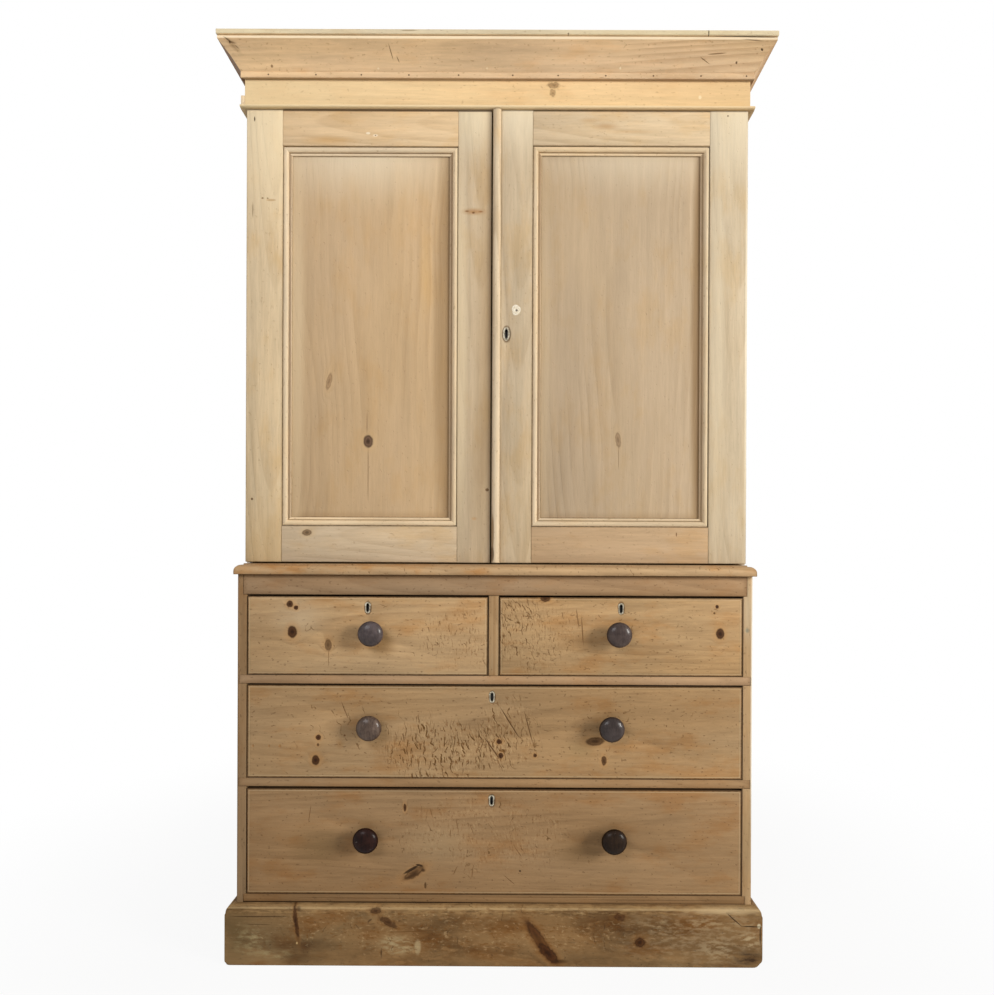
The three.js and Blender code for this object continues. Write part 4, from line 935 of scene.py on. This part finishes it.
plinthTint = "d8d0c4"
plinthLook = {"grime": 0.0, "rim": 0.0, "warmShare": 0.8, "ringSpacing": 0.014, "ringShare": 0.4,
              "sway": 0.12, "heartAcross": 0.03, "roughness": 0.6, "stainShare": 0.5, "scuffShare": 0.35,
              "streakShare": 0.5, "fibreShare": 0.3, "cloudShare": 0.26,
              "worn": {"from": 0.1165, "to": 0.12, "share": 0.4, "colour": "c9aa7a"}}
plinthKnots = [
    knot(0.333, 0.0575, 0.0115, 0.0105, soft=0.4, colour="4a2a10", ragged=0.008),
    knot(0.287, 0.114, 0.013, 0.008, depth=0.6, soft=0.2, ragged=0.014),
    knot(0.105, 0.06, 0.011, 0.054, turn=-34, colour="56331a", soft=0.3, ragged=0.009),
    knot(0.124, 0.032, 0.011, 0.03, turn=-44, colour="4c2b14", soft=0.4, ragged=0.012),
    knot(-0.449, 0.1, 0.0045, 0.036, turn=-8, colour="50321a", soft=0.4, ragged=0.007),
    knot(-0.24, 0.1, 0.02, 0.007, turn=28, depth=0.75, soft=0.3, ragged=0.014),
    knot(-0.268, 0.125, 0.013, 0.006, depth=0.8, soft=0.3, ragged=0.01),
]
plinthMarks = [
    # pale lines along the top moulding: painted highlight
    stainAndPaintedLight(0, 0.1295, 1.6, 0.0028, "d8ba89", 0.36, 0.3),
    stainAndPaintedLight(0, 0.1334, 1.6, 0.0018, "bd9c6d", 0.3, 0.3),
    stainAndPaintedLight(0.53, 0.127, 0.1, 0.009, "d6bd92", 0.5, 0.1),
    stainAndPaintedLight(0.48, 0.07, 0.24, 0.09, "c8b28e", 0.24, 0.2, patchy=True),
    stainAndPaintedLight(0.582, 0.062, 0.03, 0.022, "cdb890", 0.5, 0.2, patchy=True),
    stainAndPaintedLight(0.51, 0.04, 0.05, 0.03, "c9b48c", 0.3, 0.2, patchy=True),
    stainAndPaintedLight(0.45, 0.1, 0.18, 0.018, "c9b184", 0.22, 0.2, patchy=True),
    scar(0.547, 0.1095, 0.0235, 0.0014, "2c1b0e", turn=41),
    scar(0.587, 0.0945, 0.025, 0.0014, "20130a", turn=2),
    scar(0.606, 0.075, 0.0018, 0.024, "2a190c", 0.7),
    stainAndPaintedLight(0.6035, 0.0955, 0.0045, 0.0058, "d3c4a2", 0.85, 0.7),
    scar(0.586, 0.0195, 0.027, 0.014, "3a2311", 0.55, 0.2),
    scar(0.578, 0.022, 0.04, 0.02, "2c190b", 0.8, 0.3, patchy=True),
    scar(0.15, 0.013, 0.024, 0.006, "33200f", 0.7, 0.2),
    scar(-0.532, 0.1115, 0.07, 0.0013, "3a2513", 0.75),
    scar(-0.5355, 0.0936, 0.029, 0.001, "3f2a17", 0.6),
    stainAndPaintedLight(-0.585, 0.07, 0.05, 0.09, "58472a", 0.5),
    stainAndPaintedLight(-0.55, 0.055, 0.05, 0.045, "a3946c", 0.55, 0.2, patchy=True),
    stainAndPaintedLight(-0.495, 0.027, 0.045, 0.013, "a89a70", 0.6, 0.2, patchy=True),
    stainAndPaintedLight(-0.428, 0.044, 0.022, 0.017, "452b16", 0.6),
    stainAndPaintedLight(-0.4465, 0.052, 0.0022, 0.0032, "d3b37d", 0.8, 0.6),
    scar(-0.445, 0.128, 0.007, 0.005, "47301a", 0.7, 0.2),
    stainAndPaintedLight(-0.22, 0.048, 0.055, 0.026, "ad9972", 0.7, 0.3, patchy=True),
    stainAndPaintedLight(-0.235, 0.053, 0.03, 0.0055, "ad9972", 0.5, 0.2, turn=14),
    stainAndPaintedLight(-0.205, 0.034, 0.036, 0.0038, "ad9972", 0.55, 0.2, turn=-12),
    stainAndPaintedLight(-0.226, 0.064, 0.024, 0.0036, "ad9972", 0.5, 0.2, turn=-4),
    stainAndPaintedLight(-0.172, 0.044, 0.0085, 0.019, "b09c76", 0.7, 0.5),
    scar(-0.255, 0.03, 0.0025, 0.013, "3c2614", 0.7, 0.2),
    scar(-0.165, 0.08, 0.1, 0.0022, "60401f", 0.6, 0.1, turn=-2),
]
plinthGouges = [
    strokes(-0.05, 0.08, 0.6, 0.07, (0.024, 0.03), 0.0013, 0.01, 0.3, 0.6, colour="301d0e",
            dents=denting(0.012, 0.006, 10, 0.5)),
]


# Waist board with a quarter-round nose

def makeWaistBoard():
    node = "waist_board"
    piece = wornCopy(node, "waist")
    low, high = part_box(node)
    gouges = [strokes(0, (low.z + high.z) / 2, 0.7, 0.05, (0.02, 0.01), 0.0013, 0.0035, 0.4, 0.6,
                      colour="6b4b2a")]
    look = {"grime": 0.25, "warmShare": 0.9}
    standFor(piece, pine(node, (low, high), "chest", "xzy", 41, look, gouges=gouges, tint="fcf9f6"), node)


# Every other board keeps its CAD form, with rubbed arrises and its own piece of pine

drawerLook = {
    "grime": 0.35, "grimeReach": 0.009, "rim": 0.8, "rimReach": 0.003, "ringSpacing": 0.0095,
    "warmShare": 0.58, "coolShare": 0.45, "cloudShare": 0.28, "streakShare": 0.38, "fleckShare": 0.4,
    # the pale line 4.6 mm in from each edge: a worn arris with a painted highlight
    "fibreShare": 0.38, "lines": [{"from": 0.0046, "half": 0.0013, "share": 0.3, "colour": "e8d2a8"}],
}
sideLook = {"grime": 0.0, "rim": 0.0}
friezeLook = {
    "grime": 0.15, "grimeReach": 0.004, "cloudShare": 0.05, "warmShare": 0.3, "coolShare": 0.35,
    "streakShare": 0.4, "fleckShare": 0.2, "ringShare": 0.12,
}
leftTopShade = stainAndPaintedLight(0, 1.9664, 1.5, 0.0026, "432c19", 0.8, 0.5)
rightTopShade = dict(leftTopShade, at=(0, 1.9672), share=0.5)
doorLook = {
    "grime": 0.12, "grimeReach": 0.004, "rim": 0.3, "fleckShare": 0.14, "streakShare": 0.5, "cloudShare": 0.1,
}
panelLook = {
    "grime": 0.3, "grimeReach": 0.02, "ringShare": 0.2, "ringSpacing": 0.014, "sway": 0.12, "warmShare": 0.35,
    "heartDepth": 0.12, "fleckShare": 0.08, "cloudShare": 0.16, "fibreShare": 0.13, "streakShare": 0.3,
    "coolShare": 0.4,
}

doorStile = {"kind": "door", "grain": "zxy", "look": doorLook}
doorRail = {"kind": "door", "grain": "xzy", "look": doorLook}
doorPanel = {"kind": "panel", "grain": "zxy", "look": panelLook}
drawerFront = {"kind": "chest", "grain": "xzy", "look": drawerLook}
chestRail = {"kind": "chest", "grain": "xzy"}
chestSide = {"kind": "chest", "grain": "zyx", "look": sideLook}
cupboardSide = {"kind": "door", "grain": "zyx", "look": sideLook}
chestFront = -0.251  # the y of the chest's front edges

boards = {
    "left_door_hinge_stile": dict(doorStile, tint="f4f1e9", marks=[
        leftTopShade,
        # painted light: paler at the top
        stainAndPaintedLight(-0.52, 1.98, 0.2, 0.3, "eddbb7", 0.6, 0.2),
        scar(-0.545, 1.7625, 0.003, 0.0022, "7d5a33", 0.7),
        scar(-0.533, 1.762, 0.0022, 0.002, "7d5a33", 0.7),
        # painted shade: darker towards the foot
        stainAndPaintedLight(-0.52, 0.92, 0.2, 0.16, "b3925f", 0.4),
        scar(-0.564, 1.946, 0.0018, 0.006, "3a2816"),
        scar(-0.567, 1.0635, 0.003, 0.003, "5b4024"),
        scar(-0.5675, 1.735, 0.0012, 0.02, "6e5230", 0.6),
        scar(-0.525, 1.758, 0.012, 0.003, "a87f4c", 0.5),
    ]),
    "left_door_meeting_stile": dict(doorStile, tint="e6e6e8", marks=[
        # painted light and shade: paler at the top, darker on the right and low down where the bead's shadow
        # falls, paler on the left
        stainAndPaintedLight(-0.06, 1.99, 0.1, 0.15, "f0dfbc", 0.65, 0.2),
        stainAndPaintedLight(-0.012, 1.44, 0.042, 0.62, "9b7c55", 0.55, 0.1),
        stainAndPaintedLight(-0.04, 1.13, 0.03, 0.24, "8a6c46", 0.3, 0.2),
        stainAndPaintedLight(-0.085, 1.42, 0.022, 0.55, "f2dcb4", 0.5, 0.3),
        leftTopShade,
        stainAndPaintedLight(-0.054, 1.733, 0.033, 0.01, "ab763a", 0.7),
        scar(-0.07, 1.734, 0.006, 0.0024, "7d5023", 0.75, 0.2),
        scar(-0.055, 1.7305, 0.004, 0.003, "623c1c", 0.8, 0.3),
        scar(-0.038, 1.733, 0.007, 0.0028, "855728", 0.65, 0.2),
        scar(-0.02, 1.087, 0.005, 0.004, "5b3e20", 0.8),
        scar(-0.05, 1.02, 0.008, 0.005, "c08a4c", 0.4, 0.1),
    ]),
    "left_door_top_rail": dict(doorRail, tint="fdf5ea", marks=[
        leftTopShade,
        scar(-0.3, 1.914, 0.0055, 0.003, "f2e3c6", 0.8, sunk=0.1),
        scar(-0.283, 1.909, 0.0065, 0.0032, "f2dfc2", 0.8, sunk=0.1),
        scar(-0.283, 1.909, 0.0018, 0.0014, "55391f"),
        stainAndPaintedLight(-0.395, 1.897, 0.075, 0.012, "cd9a52", 0.45),
    ]),
    "left_door_bottom_rail": dict(doorRail, tint="edeae8", knots=[
        knot(-0.4385, 0.986, 0.011, 0.007, depth=0.8, colour="7a5a38"),
    ]),
    "left_door_panel": dict(doorPanel, tint="e8e0d2", knots=[
        knot(-0.299, 1.2, 0.011, 0.0145, colour="6a5040"),
        knot(-0.391, 1.34, 0.006, 0.02, depth=0.5, turn=12, colour="977350"),
    ], marks=[
        scar(-0.299, 1.125, 0.0009, 0.07, "7d5c39", 0.7),
        scar(-0.302, 1.243, 0.001, 0.03, "7d5c39", 0.55),
        stainAndPaintedLight(-0.167, 1.59, 0.02, 0.13, "d9ab62", 0.3),
        # painted light: paler at the top
        stainAndPaintedLight(-0.32, 1.9, 0.32, 0.16, "efe2c6", 0.6),
        # painted shadow of the moulding along the right-hand side, and painted light along the left
        stainAndPaintedLight(-0.114, 1.42, 0.036, 0.6, "8f7350", 0.6, 0.5),
        stainAndPaintedLight(-0.47, 1.42, 0.026, 0.6, "e6cfa8", 0.5, 0.2),
    ]),
    "right_door_hinge_stile": dict(doorStile, tint="f1f4f7", marks=[
        rightTopShade,
        # painted light: paler at the top
        stainAndPaintedLight(0.53, 1.98, 0.15, 0.2, "f2e4c6", 0.55, 0.1),
        # a pale line along the outer arris: wear and painted highlight
        stainAndPaintedLight(0.58, 1.42, 0.0032, 0.56, "f6ebd2", 0.75, 0.3),
        stainAndPaintedLight(0.512, 1.42, 0.022, 0.55, "f3e2c2", 0.4, 0.2),
        scar(0.535, 1.957, 0.002, 0.002, "5b3e20"),
    ]),
    "right_door_meeting_stile": dict(doorStile, tint="e9e8e6", marks=[
        rightTopShade,
        # painted light: paler at the top
        stainAndPaintedLight(0.045, 1.99, 0.1, 0.15, "f2e4c6", 0.6, 0.1),
        scar(0.023, 1.449, 0.0105, 0.0195, "5f452a", 0.75, 0.85),
    ]),
    "right_door_top_rail": dict(doorRail, tint="fcf9f4", marks=[
        rightTopShade,
        stainAndPaintedLight(0.253, 1.9315, 0.034, 0.0095, "b98a55", 0.5),
        stainAndPaintedLight(0.215, 1.946, 0.03, 0.007, "bf9460", 0.35),
        stainAndPaintedLight(0.31, 1.92, 0.07, 0.006, "c79d68", 0.35),
    ]),
    "right_door_bottom_rail": dict(doorRail, tint="e8dbd0", marks=[
        scar(0.42, 0.985, 0.0018, 0.005, "6d4c2b", 0.7),
    ]),
    "right_door_panel": dict(doorPanel, tint="e6e5e2", knots=[
        knot(0.285, 1.206, 0.006, 0.018, depth=0.5, turn=-6, colour="8a6a4c"),
    ], marks=[
        scar(0.286, 1.165, 0.0008, 0.03, "86663f", 0.55),
        # painted light: paler at the top
        stainAndPaintedLight(0.31, 1.9, 0.32, 0.13, "efe2c6", 0.45),
        # painted shadow of the moulding along the right-hand side, and painted light along the left
        stainAndPaintedLight(0.475, 1.42, 0.024, 0.6, "8f7350", 0.8, 0.5),
        stainAndPaintedLight(0.108, 1.42, 0.022, 0.6, "e2cda8", 0.3, 0.2),
    ]),
    "frieze": dict(kind="top", grain="xzy", tint="f0decc", look=friezeLook, knots=[
        knot(0.13, 2.027, 0.013, 0.007, depth=0.6, colour="7d5428", soft=0.3, ragged=0.01),
        knot(0.128, 2.009, 0.006, 0.008, depth=0.5, colour="7d5428", soft=0.3, ragged=0.01),
    ], marks=[
        scar(0.47, 2.0, 0.004, 0.005, "f1dcb4", 0.7, sunk=0.2),
        stainAndPaintedLight(0, 1.9735, 1.1, 0.005, "f5e1b9", 0.65, 0.7),
        # paler to the left and darker to the right: painted light and shade that even out the lamps' fall-off
        # across the frieze
        stainAndPaintedLight(-0.7, 2.01, 0.7, 0.3, "f8e2b2", 0.5),
        stainAndPaintedLight(0.68, 2.01, 0.5, 0.3, "c4a272", 0.4),
    ]),
    "chest_top_rail": dict(chestRail, tint="d2ced0"),
    "lower_drawer_rail": dict(chestRail, tint="d8d2ce"),
    "upper_drawer_rail": dict(chestRail, tint="ebe8ee"),
    "drawer_divider": dict(kind="chest", grain="zxy", tint="e4e1dd", look={"grime": 0.1}, marks=[
        stainAndPaintedLight(-0.001, 0.74, 0.0035, 0.2, "8d6b45", 0.45, 0.6),
    ]),
    "chest_bottom": dict(chestRail, tint="bdb1a3", look={"streakShare": 0.8, "grime": 0.2}, marks=[
        # a dark line along the foot, where the plinth meets it: painted shade in the joint
        stainAndPaintedLight(0, 0.1356, 1.6, 0.0018, "1d1108", 0.35, 0.5),
        stainAndPaintedLight(-0.4, 0.1356, 0.7, 0.0018, "1d1108", 0.8, 0.5),
        scar(-0.3, 0.1445, 0.2, 0.0012, "5c3d20", 0.6, 0.2),
        scar(0.35, 0.143, 0.24, 0.0011, "5c3d20", 0.6, 0.2),
        scar(0.1, 0.1485, 0.3, 0.001, "6a4a29", 0.5, 0.2),
    ]),
    # the left side is tinted darker, with a darker front edge: painted shade on the side away from the light
    "chest_left_side": dict(chestSide, tint="afaaa6", marks=[
        stainAndPaintedLight(-0.5905, 0.5, 0.0022, 0.4, "5f4629", 0.5, 0.3, front=chestFront),
    ]),
    "chest_right_side": dict(chestSide, marks=[
        # painted highlight along the outer arris of the front edge; lower down the front edge is darker,
        # higher up paler
        stainAndPaintedLight(0.5905, 0.6, 0.0024, 0.42, "fdf3dd", 0.75, 0.4, front=chestFront),
        stainAndPaintedLight(0.58, 0.26, 0.03, 0.2, "967a54", 0.5, front=chestFront),
        stainAndPaintedLight(0.581, 0.81, 0.02, 0.1, "dccbab", 0.5, front=chestFront),
        scar(0.5795, 0.765, 0.006, 0.007, "8f8f7c", 0.75, 0.2),
    ]),
    "cupboard_left_side": cupboardSide,
    # tinted darker: painted shade against the lamp that lights this side
    "cupboard_right_side": dict(cupboardSide, tint="ece8e2"),
    **{node: {"kind": "inner", "grain": grain} for node, grain in (
        ("chest_back", "xzy"), ("cupboard_back", "zxy"), ("cupboard_floor", "xyz"),
        ("cupboard_ceiling", "xyz"), ("shelf_1", "xyz"), ("shelf_2", "xyz"),
        ("short_left_drawer_box", "yzx"), ("short_right_drawer_box", "yzx"),
        ("upper_long_drawer_box", "yzx"), ("lower_long_drawer_box", "yzx"),
    )},
    "short_left_drawer_front": dict(drawerFront, tint="edecea", knots=[
        knot(-0.472, 0.821, 0.0075, 0.0075),
        knot(-0.4585, 0.8125, 0.005, 0.005),
        knot(-0.4665, 0.757, 0.0105, 0.014),
        knot(-0.384, 0.727, 0.008, 0.013, depth=0.65),
    ], marks=[
        stainAndPaintedLight(-0.45, 0.79, 0.075, 0.05, "c9b596", 0.45),
        # painted shadows of the knob, to its left and below to its right
        stainAndPaintedLight(-0.36, 0.735, 0.05, 0.02, "8f6c44", 0.35),
        stainAndPaintedLight(-0.258, 0.729, 0.036, 0.034, "8f693c", 0.5, 0.1),
        scar(-0.383, 0.7, 0.0011, 0.024, "8a673e", 0.6),
        scar(-0.293, 0.8125, 0.0085, 0.0155, "5c4229", 0.75, 0.85),
    ], gouges=[
        strokes(-0.09, 0.74, 0.11, 0.09, (0.011, 0.02), 0.0016, 0.008, 0.35, 0.7,
                dents=denting(0.004, 0.011, 20, 0.45)),
        strokes(-0.25, 0.76, 0.3, 0.08, (0.03, 0.03), 0.0015, 0.005, 0.3, 0.5),
    ]),
    "short_right_drawer_front": dict(drawerFront, tint="f0ebe2", knots=[
        knot(0.115, 0.836, 0.011, 0.008, depth=0.9),
        knot(0.518, 0.757, 0.0095, 0.012),
        knot(0.511, 0.819, 0.004, 0.004),
        knot(0.5045, 0.804, 0.0025, 0.0025, depth=0.7),
    ], marks=[
        scar(0.29, 0.8145, 0.0085, 0.0155, "6a4d2e", 0.6, 0.85),
        # painted shadows of the knob, to its left and below to its right
        stainAndPaintedLight(0.2, 0.735, 0.075, 0.025, "8b673f", 0.5),
        stainAndPaintedLight(0.35, 0.715, 0.07, 0.02, "9a7449", 0.4),
        scar(0.19, 0.79, 0.0012, 0.024, "6d4c2a", 0.7, turn=-8),
        scar(0.201, 0.762, 0.0013, 0.034, "6d4c2a", 0.75, turn=-4),
    ], gouges=[
        strokes(0.05, 0.76, 0.075, 0.1, (0.013, 0.03), 0.0017, 0.016, 0.6, 0.8, lean=0.1,
                dents=denting(0.0036, 0.012, 40, 0.7)),
        strokes(0.1, 0.745, 0.12, 0.09, (0.013, 0.018), 0.0016, 0.007, 0.35, 0.65,
                dents=denting(0.004, 0.009, 15, 0.4)),
        strokes(0.3, 0.76, 0.28, 0.07, (0.03, 0.03), 0.0016, 0.005, 0.35, 0.5),
    ]),
    "upper_long_drawer_front": dict(drawerFront, tint="dad6d0", knots=[
        knot(-0.4055, 0.514, 0.006, 0.006),
        knot(-0.4065, 0.497, 0.0035, 0.0035, depth=0.7),
        knot(-0.4115, 0.4615, 0.009, 0.0115),
        knot(0.232, 0.508, 0.021, 0.0095, depth=0.75, turn=-3),
        knot(0.252, 0.4635, 0.006, 0.011, depth=0.85),
        knot(0.0105, 0.506, 0.0065, 0.0055),
        knot(0.015, 0.474, 0.0055, 0.0065),
        knot(0.0935, 0.475, 0.004, 0.005, depth=0.9),
    ], marks=[
        scar(-0.006, 0.609, 0.0082, 0.0145, "5c4229", 0.75, 0.85),
        stainAndPaintedLight(0.2, 0.49, 0.05, 0.03, "9a8058", 0.5),
        stainAndPaintedLight(-0.41, 0.483, 0.03, 0.036, "937652", 0.45),
        scar(-0.556, 0.494, 0.003, 0.0045, "9a6a38", 0.6, 0.2),
        scar(-0.519, 0.494, 0.0026, 0.004, "9a6a38", 0.6, 0.2),
        scar(-0.494, 0.494, 0.004, 0.005, "9a6a38", 0.6, 0.2),
        scar(-0.345, 0.519, 0.003, 0.003, "6b4623", 0.8, 0.3),
        scar(-0.356, 0.499, 0.012, 0.014, "9a7040", 0.45, 0.0),
        scar(0.035, 0.55, 0.0017, 0.045, "55381d", turn=-32),
        scar(0.078, 0.54, 0.0015, 0.04, "5f4124", 0.8, turn=-15),
        scar(-0.005, 0.49, 0.0018, 0.035, "55381d", 0.8, turn=-35),
        scar(-0.345, 0.577, 0.0013, 0.022, "6b4a29", 0.7, turn=-22),
    ], gouges=[
        strokes(-0.12, 0.49, 0.17, 0.085, (0.009, 0.023), 0.0017, 0.012, 0.62, 0.9, lean=0.35, leanSpread=0.7,
                dents=denting(0.0045, 0.015, 30, 0.75)),
        strokes(-0.1, 0.465, 0.18, 0.065, (0.012, 0.017), 0.002, 0.007, 0.55, 0.85, lean=0.5, leanSpread=1.3),
        strokes(0.03, 0.52, 0.085, 0.1, (0.016, 0.036), 0.0019, 0.021, 0.6, 0.85, lean=0.02, leanSpread=0.6,
                dents=denting(0.005, 0.014, 60, 0.6)),
        strokes(-0.33, 0.54, 0.17, 0.07, (0.028, 0.03), 0.0016, 0.012, 0.55, 0.65, lean=0.1),
        strokes(0.3, 0.53, 0.2, 0.08, (0.022, 0.02), 0.002, 0.004, 0.45, 0.65),
    ]),
    "lower_long_drawer_front": dict(drawerFront, tint="c9c2bb", knots=[
        knot(-0.184, 0.203, 0.026, 0.0095, turn=-30, colour="6a4b2e", soft=0.3, ragged=0.01, depth=0.85),
        knot(-0.2055, 0.3535, 0.0035, 0.009, depth=0.9),
    ], marks=[
        # painted shadows of the knobs, to their left
        stainAndPaintedLight(-0.4, 0.265, 0.085, 0.055, "6d5738", 0.5),
        stainAndPaintedLight(0.195, 0.255, 0.085, 0.045, "6f5534", 0.5),
        stainAndPaintedLight(-0.13, 0.27, 0.1, 0.06, "b39c78", 0.3),
        scar(-0.191, 0.2105, 0.022, 0.0034, "1c1008", turn=-30),
        scar(-0.172, 0.2205, 0.009, 0.0028, "2c1b0f", turn=12),
        scar(-0.163, 0.209, 0.006, 0.005, "3a2412", 0.8, 0.2),
        scar(-0.188, 0.196, 0.026, 0.0048, "3e2815", 0.75, 0.2, turn=-24),
        scar(-0.158, 0.174, 0.003, 0.008, "4f361d", 0.8),
        scar(-0.006, 0.37, 0.0085, 0.0155, "5a3f26", 0.7, 0.85),
        scar(0.06, 0.2085, 0.003, 0.002, "2c1b0f"),
    ] + [scar(x, z, 0.0012, reach, "74502c", 0.62, turn=turn) for x, z, reach, turn in (
        (-0.425, 0.338, 0.021, 8), (-0.145, 0.342, 0.012, -15), (-0.101, 0.297, 0.008, 10),
        (-0.085, 0.313, 0.016, -12), (-0.052, 0.305, 0.014, -20), (0.055, 0.253, 0.016, -35),
        (0.035, 0.188, 0.018, -50), (-0.05, 0.204, 0.014, 5), (-0.089, 0.209, 0.012, 25),
        (0.123, 0.301, 0.008, 4),
    )], gouges=[
        strokes(-0.02, 0.3, 0.24, 0.1, (0.024, 0.034), 0.0016, 0.012, 0.4, 0.65, lean=0.2,
                dents=denting(0.005, 0.011, 25, 0.35)),
        strokes(0.0, 0.28, 0.4, 0.1, (0.035, 0.035), 0.0022, 0.004, 0.4, 0.5),
    ]),
}


def faceBox(node):  # the part of a board that shows
    if not node.endswith("_panel"):
        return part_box(node)
    low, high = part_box(node + "_moulding")
    inset = Vector((panelMould["width"], 0, panelMould["width"]))
    return low + inset, high - inset


def dressBoards():
    for seed, (node, board) in enumerate(boards.items(), 50):
        piece = wornCopy(node, "inner" if board["kind"] == "inner" else "shown")
        extras = {name: board[name] for name in ("look", "knots", "marks", "gouges", "tint") if name in board}
        standFor(piece, pine(node, faceBox(node), board["kind"], board["grain"], seed, **extras), node)
    print("boards: %d dressed" % len(boards))


# Locks, hinges and the filled screw hole beside the door's keyhole

brightRims = {"door": 0.0032, "drawer": 0.0022}  # the rims of the keyhole plates


def keyholeFace(node, rim):  # the part of a lock that shows, less a rim left bright
    points = [vertex.co for vertex in nodes[node].data.vertices]
    front = min(point.y for point in points)
    shown = [point for point in points if point.y < front + 0.0003]
    across, upward = [point.x for point in shown], [point.z for point in shown]
    return {"y": front, "at": ((min(across) + max(across)) / 2, (min(upward) + max(upward)) / 2),
            "size": ((max(across) - min(across)) / 2 - rim, (max(upward) - min(upward)) / 2 - rim)}


def dressMetal():
    for node in nodes:
        if node.endswith("_lock"):
            material = brass(node, keyholeFace(node, brightRims["door" if node == "door_lock" else "drawer"]))
        elif node.endswith("_leaf") or node.endswith("_bolt"):
            material = brass(node)
        else:
            continue
        slots = nodes[node].data.materials
        slots.clear()
        slots.append(material)


fillerPatch = {
    "centre": (0.0455, 1.5052), "size": (0.0205, 0.0245), "proud": 0.0005, "slope": (0.002, 0.0002),
    "hole": 0.003, "holeEdge": (0.0003, -0.0004), "sides": 40,
}


def makeFillerPatch():
    x, z = fillerPatch["centre"]
    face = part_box("right_door_meeting_stile")[0].y
    wide, high = fillerPatch["size"]
    bpy.ops.mesh.primitive_cylinder_add(
        vertices=fillerPatch["sides"], radius=0.5, depth=1, location=(x, face, z),
        rotation=(math.radians(90), 0, 0))
    patch = bpy.context.object
    patch.name = patch.data.name = "filled_screw_hole"
    patch.scale = (wide, high, 2 * fillerPatch["proud"])
    bpy.ops.object.transform_apply(location=True, rotation=True, scale=True)
    pick(patch, "FACE", lambda polygon: polygon.normal.y < -0.9)
    slope, proud = fillerPatch["slope"]
    holeEdge, holeDepth = fillerPatch["holeEdge"]
    bpy.ops.mesh.inset(thickness=slope, depth=proud)
    bpy.ops.mesh.inset(thickness=wide / 2 - slope - fillerPatch["hole"], depth=0.0)
    bpy.ops.mesh.inset(thickness=holeEdge, depth=holeDepth)
    leaveEdit()
    for vertex in patch.data.vertices:  # an uneven edge, as filler leaves
        angle = math.atan2(vertex.co.z - z, vertex.co.x - x)
        pull = 1 + 0.05 * math.sin(3 * angle + 1) + 0.035 * math.sin(5 * angle)
        vertex.co.x, vertex.co.z = x + (vertex.co.x - x) * pull, z + (vertex.co.z - z) * pull
    smoothByAngle(patch, 40)
    # the screw hole's dark inside is painted shade in a shallow recess
    hole = scar(x + 0.001, z - 0.001, fillerPatch["hole"], fillerPatch["hole"], "3a2a1c")
    patch.data.materials.append(fillerPaint("filler", hole))
    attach(patch, "right_door")


makeCornice()
for index, door in enumerate(("left_door", "right_door")):
    makePanelMoulding(door, 100 + 10 * index)
makeMeetingBead()
makePlinth()
makeWaistBoard()
print("mouldings: cornice, panel mouldings, bead, plinth, waist board")
dressBoards()
for index, node in enumerate(sorted(name for name in nodes if name.endswith("_knob"))):
    makeKnob(node, knobShape["seedStep"] * index)
dressMetal()
makeFillerPatch()
print("fittings: knobs, locks, hinges, filler")

bpy.context.scene.view_settings.view_transform = "Standard"
